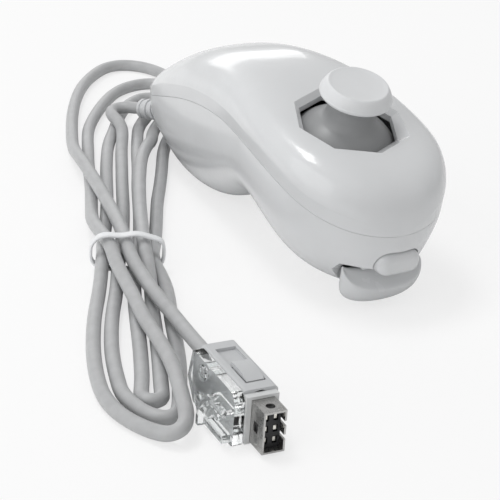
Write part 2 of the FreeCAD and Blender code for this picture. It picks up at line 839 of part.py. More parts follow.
def gate_point(x, y, z):
    """Point of the gate's frame, in the casing's frame."""
    turn = Rotation(Vector(1, 0, 0), size("gate_tilt"))
    return turn.multVec(Vector(x, y, z)) + Vector(0, size("gate_place"), size("gate_level"))


# Cord: straight runs joined by arcs

def tangent_wire(points, share=0.45):
    """Wire of straight runs with an arc in each corner, and the arcs' radii."""
    edges = []
    radii = []
    start = points[0]
    for before, corner, after in zip(points, points[1:], points[2:]):
        back = before - corner
        ahead = after - corner
        short = share * min(back.Length, ahead.Length)
        back.normalize()
        ahead.normalize()
        turn = math.pi - back.getAngle(ahead)
        if turn < 0.01:
            raise ValueError("three cord points in line")
        radius = short / math.tan(turn / 2)
        centre_way = (back + ahead).normalize()
        centre = corner + centre_way * (radius / math.cos(turn / 2))
        enter = corner + back * short
        leave = corner + ahead * short
        edges.append(Part.LineSegment(start, enter).toShape())
        edges.append(Part.Arc(enter, centre - centre_way * radius, leave).toShape())
        radii.append(radius)
        start = leave
    edges.append(Part.LineSegment(start, points[-1]).toShape())
    return Part.Wire(edges), radii


def tube(name, points, radius, share=0.45):
    wire, radii = tangent_wire(points, share)
    run = points[1] - points[0]
    profile = Part.Wire([Part.Circle(points[0], run, radius).toShape()])
    solid = wire.makePipeShell([profile], True, False)
    expected = math.pi * radius * radius * wire.Length
    print("%s: length %.1f, tightest radius %.1f, volume %.4f of section times length"
          % (name, wire.Length, min(radii) if radii else 0, solid.Volume / expected))
    return solid, wire


def strain_relief():
    """Ribbed sleeve from the flange inside the tail to where the cord comes out."""
    core, wire = tube("relief", list(RELIEF_AXIS), size("relief_core"))
    start = RELIEF_AXIS[0]
    flange = Part.makeCylinder(size("relief_radius") + size("flange_lip"), size("flange_thickness"), start,
                               RELIEF_LEAN)
    neck = Part.makeCylinder(size("relief_radius"), 5.6, start, RELIEF_LEAN)
    ribs = []
    count = 4
    for index in range(count):
        share = 0.52 + 0.42 * index / (count - 1)
        reach = wire.Length * share
        spot, way = point_at(wire, reach)
        ribs.append(Part.makeCylinder(size("relief_radius") - 0.12 * index, 0.9, spot, way))
    return node("strain_relief", shaped("strain_relief_shape", core.multiFuse([flange, neck] + ribs)))


def point_at(wire, reach):
    """Point and direction at a length along a wire."""
    for edge in wire.OrderedEdges:
        if reach <= edge.Length:
            value = edge.getParameterByLength(reach)
            return edge.valueAt(value), edge.tangentAt(value)
        reach -= edge.Length
    return edge.valueAt(edge.LastParameter), edge.tangentAt(edge.LastParameter)


def inner_lead():
    """Bundle of wires from the relief's flange to the board's plug, with its knot clamp."""
    lean = RELIEF_LEAN
    start = RELIEF_AXIS[0]
    middle = (6.6, amount_of(LEAD_PLUG_BACK), amount_of(BOARD_TOP + " + 1.7"))
    plug = gate_point(*middle)
    back = gate_point(middle[0], middle[1] + 6, middle[2])
    inside = [Vector(3.6, TAIL - 18.35, 21.6), Vector(6.6, TAIL - 28.35, 22.6), Vector(7.4, 14.0, 23.6)]
    points = [start, start - lean * 7] + inside + [back, plug]
    lead, wire = tube("inner_lead", points, size("wire_radius"))
    clamp = Part.makeCylinder(size("wire_radius") + 1.6, 3, start - lean * 4.6, lean)
    return node("inner_lead", shaped("inner_lead_shape", lead.fuse(clamp)))


# Front button and trigger

def small_button():
    """Rounded oval cap, its flange behind the casing's wall and its plunger."""
    cap = stadium("button_cap", "0", "button_flange - 1", "button_tip")
    front = cap.Tip.Shape.BoundBox.YMin + 0.01
    rounded(cap, "button_nose", "button_round", lambda edge: edge.BoundBox.YMax < front)
    half = "(button_width / 2 + 0.8)"
    low = ("button_level - button_height / 2", "button_level + button_height / 2 + 0.2")
    flange = block("button_flange_plate", ("-" + half, half), ("button_flange - 1", "button_flange"), low)
    length = "button_reach - button_flange + 1"
    plunger = rod("button_plunger", "plunger_radius", length, ("0", "button_flange - 1", "plunger_level"),
                  TO_Y)
    return node("small_button", fuse("small_button_fuse", [cap, flange, plunger]))


TRIGGER_SIDE = (
    # y and z, from the top edge down the front and back along the bottom
    ("-45.9", "11.3"),
    ("-53.4", "11.3"),
    ("-53.4", "8.4"),
    ("-49.8", "2.0", "-52.0", "4.6"),
    ("-44.6", "0.9", "-47.3", "0.9"),
    ("-43.2", "2.6", "-43.5", "1.4"),
    ("-42.9", "5.6"),
    ("-44.2", "8.9"),
)
TRIGGER_FRONT = (
    # x and z
    ("10.5", "11.4"),
    ("10.5", "9.4"),
    ("5.4", "0.6", "9.2", "4.6"),
    ("-5.4", "0.6"),
    ("-10.5", "9.4", "-9.2", "4.6"),
    ("-10.5", "11.4"),
)
TRIGGER_PLAN = (
    # x and y
    ("10.6", "-42"),
    ("10.6", "-47.2"),
    ("7.2", "-51.4", "9.8", "-49.8"),
    ("-7.2", "-51.4", "0", "-52.8"),
    ("-10.6", "-47.2", "-9.8", "-49.8"),
    ("-10.6", "-42"),
)


def trigger():
    """Blob with the finger scoop, hollow behind, two arms to the pin and a post to its pad."""
    side = side_plate("trigger_side", TRIGGER_SIDE, "2 * trigger_half")
    front = new_body("trigger_front")
    pad(front, drawing(front, "trigger_front_outline", "XZ_Plane", TRIGGER_FRONT), "70")
    plan = new_body("trigger_plan")
    pad(plan, drawing(plan, "trigger_plan_outline", "XY_Plane", TRIGGER_PLAN), "20")
    blob = common("trigger_blob", [side, front, plan])
    scoop = made("Part::Ellipsoid", "trigger_scoop", {"Radius1": "4.0", "Radius2": "9.4", "Radius3": "3.6"})
    scoop.Angle1 = -90
    place(scoop, ("0", "-54.2", "9.2"))
    hollow = block("trigger_hollow", ("-8", "8"), ("-48.6", "-30"), ("2.6", "9.3"))
    clear = stadium("trigger_button_clear", "0.4", "-30", "-60")
    wide = block("trigger_flange_clear", ("-button_width / 2 - 1.2", "button_width / 2 + 1.2"),
                 ("-50", "-30"),
                 ("button_level - button_height / 2 - 0.4", "20"))
    shell = carve("trigger_shell", blob, [scoop, hollow, clear, wide])
    path = (
        ("-47.5", "6.6"), ("-43.3", "6.6"), ("-42.6", "8.6"), ("pivot_place + arm_radius", "12.4"),
        ("pivot_place + arm_radius", "pivot_level"),
        ("pivot_place - arm_radius", "pivot_level", "pivot_place", "pivot_level + arm_radius"),
        ("pivot_place - arm_radius", "12.0"), ("-45.0", "10.8"), ("-47.5", "10.8"),
    )
    arms = side_plate("trigger_arms", path, "2 * arm_outer")
    between = block("trigger_between", ("-arm_inner", "arm_inner"), ("-60", "-30"), ("0", "30"))
    forks = cut("trigger_forks", arms, between)
    reach = "trigger_reach + 49.5"
    post_rod = rod("trigger_post_rod", "1.1", reach, ("0", "-49.5", "trigger_post"), TO_Y)
    whole = fuse("trigger_whole", [shell, forks, post_rod])
    length = "2 * arm_outer + 4"
    bore = rod("trigger_bore", "trigger_pin + running", length,
               ("-arm_outer - 2", "pivot_place", "pivot_level"), TO_X)
    return node("trigger", cut("trigger_cut", whole, bore))


def trigger_pin():
    pin = rod("pin_rod", "trigger_pin", "24", ("-12", "pivot_place", "pivot_level"), TO_X)
    return node("trigger_pin", fuse("trigger_pin_fuse", [pin]))


def button_board():
    near = "pad_face + pad_thickness"
    board = block("small_board", ("-small_board_half", "small_board_half"),
                  (near, near + " + small_board_thickness"),
                  ("small_board_low", "small_board_high"))
    return node("button_board", fuse("button_board_fuse", [board]))


def button_pads():
    """Rubber sheet with a dome before each plunger."""
    sheet_blank = block("pad_sheet", ("-5", "5"), ("pad_face", "pad_face + pad_thickness"), ("6.6", "15.4"))
    domes = []
    for level in ("trigger_post", "plunger_level"):
        at = ("0", "pad_face - dome_height", level)
        domes.append(cone("pad_dome", "dome_radius - 0.6", "dome_radius", "dome_height", at, TO_Y))
    return node("button_pads", fuse("button_pads_fuse", [sheet_blank] + domes))


def shell_screws():
    screws = []
    for along, joint in (("front_post", "front_joint"), ("back_post", "back_joint")):
        seat = joint + " - seam_gap - 2.4"
        head = rod("shell_screw_head", "head_radius", "head_height", ("0", along, seat + " - head_height"))
        shank = rod("shell_screw_shank", "screw_radius", "screw_length", ("0", along, seat))
        slots = []
        for wide, tall in ((0.3, 1.4), (1.4, 0.3)):
            slots.append(block("shell_screw_slot", (str(-wide), str(wide)),
                               ("%s - %s" % (along, tall), "%s + %s" % (along, tall)),
                               (seat + " - head_height - 1", seat + " - head_height + 0.8")))
        screws.append(carve("shell_screw", fuse("shell_screw_blank", [head, shank]), slots))
    return node("shell_screws", fuse("shell_screws_fuse", screws))


# Cord: places by hand, above and below the tie, and round the two ends of the hank

TIE = Vector(-38.5, -4.0, 0)
FLOOR = 1.65
LOW = 3.05
OVER = 6.5
CROSS = 5.35


def above(along, across, level=FLOOR):
    """Place on the handle's side of the tie."""
    return Vector(TIE.x + 0.41 * along + 0.912 * across, TIE.y + 0.912 * along - 0.41 * across, level)


def below(along, across, level=FLOOR):
    """Place on the plug's side of the tie."""
    return Vector(TIE.x - 0.39 * along + 0.921 * across, TIE.y - 0.921 * along - 0.39 * across, level)


def in_plug_row(across, back, level):
    """Place given in the plug's own frame."""
    turn = math.radians(size("plug_turn"))
    east = size("plug_across") + across * math.cos(turn) - back * math.sin(turn)
    north = size("plug_along") + across * math.sin(turn) + back * math.cos(turn)
    return Vector(east, north, level)


LEAD_OUT = [
    RELIEF_AXIS[2], RELIEF_AXIS[2] + RELIEF_WAY * 2.6, Vector(-6.0, 66.5, 5.8), Vector(-8.0, 64.9, 5.3),
    Vector(-8.9, 61.3, 4.9), Vector(-11.5, 56.6, 3.7), above(59, -1.45, 1.9), above(49, -1.75),
]
FIRST_DOWN = [
    above(49, -1.75), above(36, -2.2), above(22, -2.45), above(5, -3.35, 1.8), above(-8, -4.82, LOW),
    below(21.4, -6.2), below(33, -7.9), below(44.5, -8.8), below(53, -8.9), below(60.3, -8.5),
    below(66.6, -7.95),
    below(72, -5.4), below(75.3, -2.6), below(76.4, 0.3), below(74.6, 2.5), below(70.5, 3.3),
    below(64.5, 3.8),
    below(57.4, 4.5), below(48, 4.85), below(35, 4.7), below(22, 5.05), below(15, 4.25, 1.95),
]
FIRST_UP = [
    above(-8, 2.65, LOW), above(4.7, 4.25, 1.9), above(16, 5.2), above(26, 5.9), above(36, 7.2),
    above(47, 8.35),
    above(56, 9.1), Vector(-3.3, 49.4, FLOOR), Vector(1.6, 55.7, FLOOR), Vector(7.2, 60.7, FLOOR),
    Vector(11.5, 67.4, FLOOR), Vector(12.6, 73.8, FLOOR), Vector(11.2, 79.6, FLOOR), Vector(6.2, 82.0, FLOOR),
    Vector(0.2, 78.5, FLOOR), Vector(-5.6, 71.8, FLOOR), above(72.7, -2.75), above(62.3, -4.8),
    above(52.2, -5.5),
    above(42, -5.9), above(26, -6.2), above(14, -6.9), above(4, -7.9, 1.8),
]
SECOND_DOWN = [
    above(-8, -8.43, LOW), below(21.4, -10.0), below(33, -11.7), below(44.4, -12.6), below(53, -12.8),
    below(61, -12.5), below(68.3, -11.5), below(74.2, -9.1), below(78.6, -5.7), below(81.6, -2.4, 1.8),
    below(83.8, 0.3, 2.6), below(83.4, 2.8, 3.8), below(80.2, 3.7, 4.8), below(74.5, 3.3, CROSS),
    below(67.2, 3.0, CROSS), below(60.6, 2.4, CROSS), below(54.4, 1.3, CROSS), below(48.4, 0.0, CROSS),
    below(40.7, -1.9, CROSS), below(32.8, -3.1, 5.5), below(24.5, -4.7, 5.8), below(16, -6.3, 6.2),
]
SECOND_UP = [
    above(-8, -6.8, OVER), above(-0.5, -8.7, 6.1), above(7, -10.1, 4.8), above(15, -10.4, 3.1),
    above(24, -10.1),
    above(38, -9.85), above(48, -10.25), above(57, -10.05), above(66, -10.0), Vector(-17.0, 67.1, FLOOR),
    Vector(-11.2, 75.0, FLOOR), Vector(-5.0, 82.2, FLOOR), Vector(1.0, 88.0, FLOOR), Vector(6.8, 91.0, FLOOR),
    Vector(12.6, 91.6, FLOOR), Vector(16.4, 88.0, 2.1), Vector(15.8, 82.4, 4.4), Vector(11.6, 77.0, 5.6),
    Vector(6.0, 71.6, 5.0), Vector(1.0, 67.4, 2.7), Vector(-4.5, 62.8, FLOOR), above(64, 2.9), above(56, 2.5),
    above(47, 2.3), above(35, 1.6), above(22, 1.4), above(12, 1.0), above(4, 0.45, 1.9),
]
THIRD_DOWN = [
    above(-8, -1.15, LOW), below(21, -2.4), below(33.2, -2.75), below(44.5, -2.85), below(53, -3.1),
    below(60.5, -3.45),
    below(66.4, -4.0), below(67.8, -2.9), below(67.8, -1.15), below(66.5, -0.1), below(60, 0.3),
    below(50, 0.75),
    below(40, 0.95), below(30, 0.95), below(22, 1.35, 2.4), below(15, 1.15, 4.5),
]
THIRD_UP = [
    above(-8, 0.8, OVER), above(4, 0.95, 5.75), above(16, 1.1, 5.45), above(26, 1.5, 5.4),
    above(36, 2.1, 5.4),
    above(46, 3.0, 5.4), above(56, 5.1, 4.6), above(64, 6.7, 2.2), Vector(-2.3, 58.5, FLOOR),
    Vector(2.5, 63.2, 2.1),
    Vector(7.6, 66.8, 5.1), Vector(14.0, 69.9, 5.5), Vector(18.6, 75.6, 4.0), Vector(21.2, 84.8, FLOOR),
    Vector(21.4, 94.6, FLOOR), Vector(19.2, 102.6, FLOOR), Vector(14.2, 107.3, FLOOR),
    Vector(8.6, 107.6, FLOOR),
    Vector(2.5, 103.7, FLOOR), Vector(-5.0, 96.2, FLOOR), Vector(-11.4, 87.0, FLOOR),
    Vector(-17.0, 77.2, FLOOR),
    Vector(-21.8, 67.4, FLOOR), above(60, -14.0, 1.9), above(50, -13.1, 4.1), above(42, -11.8, 5.4),
    above(34, -10.0, 5.5), above(24, -7.8, 5.45), above(14.6, -5.9, 5.45), above(4, -4.2, 5.9),
    above(-8, -3.0, OVER),
]
LAST_RUN = [below(15, -2.5, 6.2), below(24, -0.4, 5.8), below(31.8, 1.9, 5.5), below(39.6, 4.4, 5.45)]
LEAD_TO_PLUG = [
    below(39.6, 4.4, 5.45), Vector(-50.9, -49.4, 5.6), in_plug_row(0.4, size("housing_back") + 8, 6.0),
    in_plug_row(0.4, size("housing_back"), 6.0),
]


def least_gap(wire, thickness, apart):
    """Least clear distance of a tube to itself, measured on points along its line."""
    count = int(wire.Length / 1.2)
    spots = wire.discretize(count)
    step = wire.Length / (count - 1)
    skip = int(apart / step)
    cells = {}
    for index, spot in enumerate(spots):
        cells.setdefault((int(spot.x // 6), int(spot.y // 6), int(spot.z // 6)), []).append((index, spot))
    least = 99.0
    for (x, y, z), here in cells.items():
        near = []
        for shift in range(27):
            near += cells.get((x + shift % 3 - 1, y + shift // 3 % 3 - 1, z + shift // 9 - 1), [])
        for index, spot in here:
            for other, place_there in near:
                if other - index > skip:
                    least = min(least, spot.distanceToPoint(place_there) - thickness)
    return least


def cords():
    """Lead from the tail, the hank as one unbroken tube, and the lead to the plug."""
    radius = size("cord_radius")
    hank = FIRST_DOWN + FIRST_UP + SECOND_DOWN + SECOND_UP + THIRD_DOWN + THIRD_UP + LAST_RUN
    start = (LEAD_OUT[-2] + LEAD_OUT[-1]) * 0.5
    lead = LEAD_OUT[:-1] + [start]
    hank = [start] + hank
    finish = (LEAD_TO_PLUG[0] + LEAD_TO_PLUG[1]) * 0.5
    hank = hank + [finish]
    tail = [finish] + LEAD_TO_PLUG[1:]
    solid, wire = tube("lead_out", lead, radius)
    node("lead_out", shaped("lead_out_shape", solid))
    whole, line = tube("cord_hank", hank, radius)
    print("cord_hank: least gap to itself %.2f" % least_gap(line, 2 * radius, 9))
    node("cord_hank", shaped("cord_hank_shape", whole))
    last, rest = tube("lead_to_plug", tail, radius)
    node("lead_to_plug", shaped("lead_to_plug_shape", last))
    print("cord in all: %.0f" % (wire.Length + line.Length + rest.Length))


def hank_tie():
    """Flat band round the bundle, square to the bundle's run."""
    turn = math.degrees(math.atan2(-0.41, 0.912))
    side = ("-10.8 - tie_thickness", "5 + tie_thickness")
    outer = block("tie_outer", side, ("-tie_width / 2", "tie_width / 2"), ("0.2", "8.5 + tie_thickness"))
    inner = block("tie_inner", ("-10.8", "5"), ("-5", "5"), ("0.2 + tie_thickness", "8.5"))
    ring = cut("tie_ring", outer, inner)
    centre = above(-8, 0, 0)
    ring.Placement = Placement(centre, Rotation(Vector(0, 0, 1), turn))
    return node("hank_tie", ring)


# Plug on the floor, drawn in its own frame: x across, y back, z up

def plug_housing():
    """Grey housing with the slot for the release tab and the mouth for the metal shell."""
    body = new_body("housing_blank")
    path = (
        ("housing_left", "housing_low"),
        ("housing_right", "housing_low"),
        ("housing_right", "housing_top"),
        ("housing_left", "housing_top"),
    )
    length = "housing_back - housing_front"
    pad(body, drawing(body, "housing_outline", "XZ_Plane", path), length)
    rounded(body, "housing_corners", "0.9", lambda edge: edge.BoundBox.YLength > 5)
    place(body, ("0", "housing_back", "0"))
    mouth = block("housing_mouth", ("metal_left - running", "metal_right + running"),
                  ("housing_front - 1", "metal_root"),
                  ("metal_low - running", "metal_top + running"))
    arch = rod("housing_arch", "2.6", "1.6",
               ("(metal_left + metal_right) / 2", "housing_front - 0.1", "metal_top - 1.6"), TO_Y)
    slot = block("housing_slot", ("-1.5", "2.9"), ("-3.2", "11.0"), ("housing_top - 0.7", "housing_top + 1"))
    well = block("housing_well", ("-1.5", "2.9"), ("-3.2", "4.6"), ("metal_top + 0.4", "housing_top + 1"))
    return node("plug_housing", in_plug(carve("plug_housing_cut", body, [mouth, arch, slot, well])))


def plug_latch():
    """Release tab: a curved ramp that is pressed down into its well."""
    body = new_body("latch_blank")
    path = (
        ("-2.9", "housing_top - latch_foot"),
        ("4.3", "housing_top - latch_foot"),
        ("4.3", "housing_top + 0.7"),
        ("-2.9", "housing_top + 0.1", "1.2", "housing_top + 0.95"),
    )
    pad(body, drawing(body, "latch_outline", "YZ_Plane", path), "3.8")
    place(body, ("-1.2", "0", "0"))
    return node("plug_latch", in_plug(fuse("plug_latch_fuse", [body])))


def plug_case():
    """Clear plate beside the housing, with its guard arch round the hook."""
    body = new_body("case_blank")
    path = (
        ("-7.2", "0.1"),
        ("11.2", "0.1"),
        ("14.4", "4.5"),
        ("12.6", "11.4"),
        ("-5.6", "11.4"),
        ("-7.2", "9.8"),
    )
    pad(body, drawing(body, "case_outline", "YZ_Plane", path), "housing_left - case_left - 0.02")
    rounded(body, "case_corners", "0.6", lambda edge: edge.BoundBox.XLength > 1.5)
    place(body, ("case_left", "0", "0"))
    holes = [rod("case_boss_hole", "1.15", "4", ("case_left - 1", y, z), TO_X) for y, z in PLUG_SCREWS]
    rise = ((-7.4, 0.1), (3.6, 0.1), (3.6, 4.6), (-0.6, 8.8), (-7.4, 8.8))
    guard = new_body("guard_blank")
    outline = tuple((str(y), str(z)) for y, z in rise)
    pad(guard, drawing(guard, "guard_outline", "YZ_Plane", outline), "2.9")
    place(guard, ("case_left - 2.9", "0", "0"))
    window = new_body("guard_window")
    inner = ((-8.4, -1.0), (2.5, -1.0), (2.5, 4.1), (-1.1, 7.7), (-8.4, 7.7))
    pad(window, drawing(window, "window_outline", "YZ_Plane", tuple((str(y), str(z)) for y, z in inner)), "8")
    place(window, ("case_left - 6", "0", "0"))
    arch = cut("guard_arch", guard, window)
    plate = carve("case_plate", body, holes)
    return node("plug_case", in_plug(fuse("plug_case_fuse", [plate, arch])))


PLUG_SCREWS = (("7.1", "9.0"), ("8.4", "2.2"))


def plug_screws():
    screws = []
    for y, z in PLUG_SCREWS:
        shank = rod("plug_screw_shank", "1.1", "housing_left - case_left - 0.02", ("case_left", y, z), TO_X)
        head = rod("plug_screw_head", "1.7", "0.5", ("case_left - 0.5", y, z), TO_X)
        socket = rod("plug_screw_socket", "0.6", "0.6", ("case_left - 0.8", y, z), TO_X)
        screws.append(cut("plug_screw", fuse("plug_screw_blank", [shank, head]), socket))
    return node("plug_screws", in_plug(fuse("plug_screws_fuse", screws)))


def plug_hook():
    """Clear latch hook inside the guard."""
    body = new_body("hook_blank")
    path = (
        ("-7.0", "1.2"),
        ("1.6", "1.2"),
        ("1.6", "3.6"),
        ("-1.4", "6.4"),
        ("-4.4", "6.4"),
        ("-4.4", "4.9"),
        ("-2.0", "4.9"),
        ("-0.2", "3.0"),
        ("-7.0", "3.0"),
    )
    pad(body, drawing(body, "hook_outline", "YZ_Plane", path), "1.8")
    place(body, ("case_left - 2.2", "0", "0"))
    return node("plug_hook", in_plug(fuse("plug_hook_fuse", [body])))


def connector_shell():
    """Metal shell with a mark opening on top, a side window and key notches on the right edge."""
    x = ("metal_left", "metal_right")
    z = ("metal_low", "metal_top")
    outer = block("metal_outer", x, ("metal_mouth", "metal_root"), z)
    wall = "metal_wall"
    inner = block("metal_inner", (x[0] + " + " + wall, x[1] + " - " + wall),
                  ("metal_mouth - 1", "metal_root + 1"),
                  (z[0] + " + " + wall, z[1] + " - " + wall))
    top = rod("metal_top_opening", "0.95", "2",
              ("(metal_left + metal_right) / 2", "metal_mouth + 2.4", "metal_top - 1"))
    side = block("metal_window", ("metal_left - 1", "metal_left + 1"),
                 ("metal_mouth + 2.3", "metal_mouth + 4.1"), ("4.2", "6.4"))
    notches = [block("metal_notch", ("metal_right - 1", "metal_right + 1"),
                     ("metal_mouth - 1", "metal_mouth + 5.2"), (low, high))
               for low, high in (("3.6", "4.6"), ("6.6", "7.6"))]
    return node("connector_shell", in_plug(carve("connector_shell_cut", outer, [inner, top, side] + notches)))


CONTACT_LEVELS = ("2.9", "5.4", "7.9")
CONTACT_ROWS = ("-0.75", "1.3")


def connector_insulator():
    wall = "(metal_wall + running)"
    body = block("carrier", ("metal_left + " + wall, "metal_right - " + wall),
                 ("metal_mouth + 1.6", "metal_root"),
                 ("metal_low + " + wall, "metal_top - " + wall))
    channels = []
    for x in CONTACT_ROWS:
        for z in CONTACT_LEVELS:
            channels.append(block("carrier_channel", (x + " - 0.5", x + " + 0.5"),
                                  ("metal_mouth", "metal_root - 1"),
                                  (z + " - 0.75", z + " + 0.75")))
    return node("connector_insulator", in_plug(carve("connector_insulator_cut", body, channels)))


def connector_contacts():
    strips = []
    for x in CONTACT_ROWS:
        for z in CONTACT_LEVELS:
            strips.append(block("contact_strip", (x + " - 0.3", x + " + 0.3"),
                                ("metal_mouth + 1.9", "metal_root - 1"),
                                (z + " - 0.45", z + " + 0.45")))
    return node("connector_contacts", in_plug(fuse("connector_contacts_fuse", strips)))


def plug_front_frame():
    """Pale collar round the root of the metal shell."""
    outer = block("frame_outer", ("housing_left + 0.2", "metal_right + 0.9"),
                  ("frame_front", "housing_front"), ("0.4", "metal_top + 0.7"))
    opening = block("frame_opening", ("metal_left - running", "metal_right + running"),
                    ("frame_front - 1", "housing_front + 1"),
                    ("metal_low - running", "metal_top + running"))
    return node("plug_front_frame", in_plug(cut("plug_front_frame_cut", outer, opening)))


# Build everything

def build_all():
    for maker in (top_shell, bottom_shell, stick_cap, stick_boot, stick_shaft, fore_aft_yoke, side_yoke,
                  stick_base,
                  return_plate, return_spring):
        maker()
    sensor("fore_aft_sensor", True)
    sensor("side_sensor", False)
    for maker in (main_board, controller_chip, motion_sensor, board_capacitors, board_screws, lead_socket,
                  lead_plug,
                  inner_lead, strain_relief, small_button, trigger, trigger_pin, button_board, button_pads,
                  shell_screws, cords, hank_tie, plug_housing, plug_latch, plug_case, plug_screws, plug_hook,
                  connector_shell, connector_insulator, connector_contacts, plug_front_frame):
        maker()


def check_all():
    """Stop on any object that failed or any sub-part whose solid isn't sound."""
    doc.recompute()
    failed = [piece.Label for piece in doc.Objects if "Invalid" in piece.State or "Error" in piece.State]
    if failed:
        raise RuntimeError("failed: " + ", ".join(failed))
    unsound = []
    for name, piece in NODES.items():
        shape = piece.Shape
        if shape.isNull() or not shape.isValid() or not shape.Solids:
            unsound.append(name)
    if unsound:
        raise RuntimeError("not sound: " + ", ".join(unsound))


def export_all():
    for name, piece in NODES.items():
        piece.Shape.exportStep("parts/%s.step" % name)
        box = piece.Shape.optimalBoundingBox()
        print("%s: %d solids, volume %.1f, x %.1f..%.1f, y %.1f..%.1f, z %.1f..%.1f" % (
            name, len(piece.Shape.Solids), piece.Shape.Volume, box.XMin, box.XMax, box.YMin, box.YMax,
            box.ZMin, box.ZMax))


build_all()
check_all()
export_all()
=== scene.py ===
"""Finished look of a one-handed motion game controller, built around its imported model."""

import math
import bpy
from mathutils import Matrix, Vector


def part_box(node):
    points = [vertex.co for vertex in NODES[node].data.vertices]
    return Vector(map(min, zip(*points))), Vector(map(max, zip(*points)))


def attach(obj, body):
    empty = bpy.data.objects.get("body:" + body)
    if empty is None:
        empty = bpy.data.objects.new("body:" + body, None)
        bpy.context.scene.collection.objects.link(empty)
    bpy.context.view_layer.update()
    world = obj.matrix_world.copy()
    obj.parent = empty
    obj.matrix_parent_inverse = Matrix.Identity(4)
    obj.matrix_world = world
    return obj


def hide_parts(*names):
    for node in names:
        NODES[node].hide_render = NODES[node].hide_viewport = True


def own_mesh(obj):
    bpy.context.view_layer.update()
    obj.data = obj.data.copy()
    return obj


bl_info = {
    "name": "Motion controller finish",
    "version": (1, 0, 0),
    "blender": (4, 5, 0),
    "location": "3D View > Sidebar > Controller",
    "description": "Gives the packed controller its cord, its small visible pieces and its finishes",
    "category": "Object",
}

import bmesh
import bpy
from mathutils import Matrix, Vector

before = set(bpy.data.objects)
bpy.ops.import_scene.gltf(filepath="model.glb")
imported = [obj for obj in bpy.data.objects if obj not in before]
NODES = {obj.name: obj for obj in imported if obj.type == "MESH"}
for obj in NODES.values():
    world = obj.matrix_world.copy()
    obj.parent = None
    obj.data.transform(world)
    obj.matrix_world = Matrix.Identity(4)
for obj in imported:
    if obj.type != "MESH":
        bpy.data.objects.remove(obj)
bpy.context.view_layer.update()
MM = 0.001


# Settings that a user would change

def colour(name, default, description):
    return bpy.props.FloatVectorProperty(
        name=name, description=description, subtype="COLOR", size=3, default=default, min=0, max=1
    )


def length(name, default, description):
    return bpy.props.FloatProperty(
        name=name, description=description, unit="LENGTH", default=default, min=0
    )


def share(name, default, description):
    return bpy.props.FloatProperty(
        name=name, description=description, subtype="FACTOR", default=default, min=0, max=1
    )


class ControllerColours(bpy.types.PropertyGroup):
    """Base colours of the visible finishes."""

    casing: colour("Casing", (0.71, 0.72, 0.73), "Light grey glossy casing")
    controls: colour("Front controls", (0.68, 0.69, 0.70), "Oval button and trigger")
    cap: colour("Stick cap", (0.73, 0.74, 0.75), "Thumb cap of the stick")
    boot: colour("Stick boot", (0.32, 0.325, 0.33), "Dome and neck under the cap")
    cord: colour("Cord", (0.46, 0.465, 0.47), "Cord jacket")
    relief: colour("Strain relief", (0.62, 0.63, 0.64), "Ribbed sleeve at the tail")
    tie: colour("Tie", (0.86, 0.87, 0.88), "Tie round the hank")
    housing: colour("Plug housing", (0.56, 0.57, 0.58), "Grey plug housing and release tab")
    collar: colour("Plug collar", (0.70, 0.71, 0.71), "Pale collar round the metal shell")


class ControllerSizes(bpy.types.PropertyGroup):
    """Sizes of what is made here."""

    cord_radius: length("Cord radius", 1.6 * MM, "Radius of the cord jacket")
    tie_width: length("Tie width", 2.0 * MM, "Width of the band round the hank")
    tie_thickness: length("Tie thickness", 0.7 * MM, "Thickness of that band")
    grain: length("Plastic grain", 0.35 * MM, "Distance between bumps on matte plastic")


class ControllerStage(bpy.types.PropertyGroup):
    """Floor, light and camera."""

    distance: length("Camera distance", 0.42, "From the aim point to the camera")
    lens: bpy.props.FloatProperty(
        name="Lens", description="Focal length in millimetres", unit="CAMERA", default=135.647
    )
    floor: share("Floor shade", 0.93, "Paleness of the floor")
    shadow: share("Floor shadow", 0.30, "How much of the shadow the floor keeps")
    world: share("World light", 0.5, "Strength of the light from all round")


def settings():
    scene = bpy.context.scene
    return scene.controller_colours, scene.controller_sizes, scene.controller_stage


# Shader maths and finishes

class Value:
    """A socket whose arithmetic adds Math nodes to its finish."""

    def __init__(self, finish, socket):
        self.finish = finish
        self.socket = socket

    def maths(self, operation, first, second):
        return self.finish.node("ShaderNodeMath", {"operation": operation}, {0: first, 1: second})

    def __add__(self, other):
        return self.maths("ADD", self, other)

    def __mul__(self, other):
        return self.maths("MULTIPLY", self, other)

    __radd__ = __add__
    __rmul__ = __mul__


# Places of the colour sockets on a Mix node

FIRST_COLOUR = 6
SECOND_COLOUR = 7
MIXED_COLOUR = 2


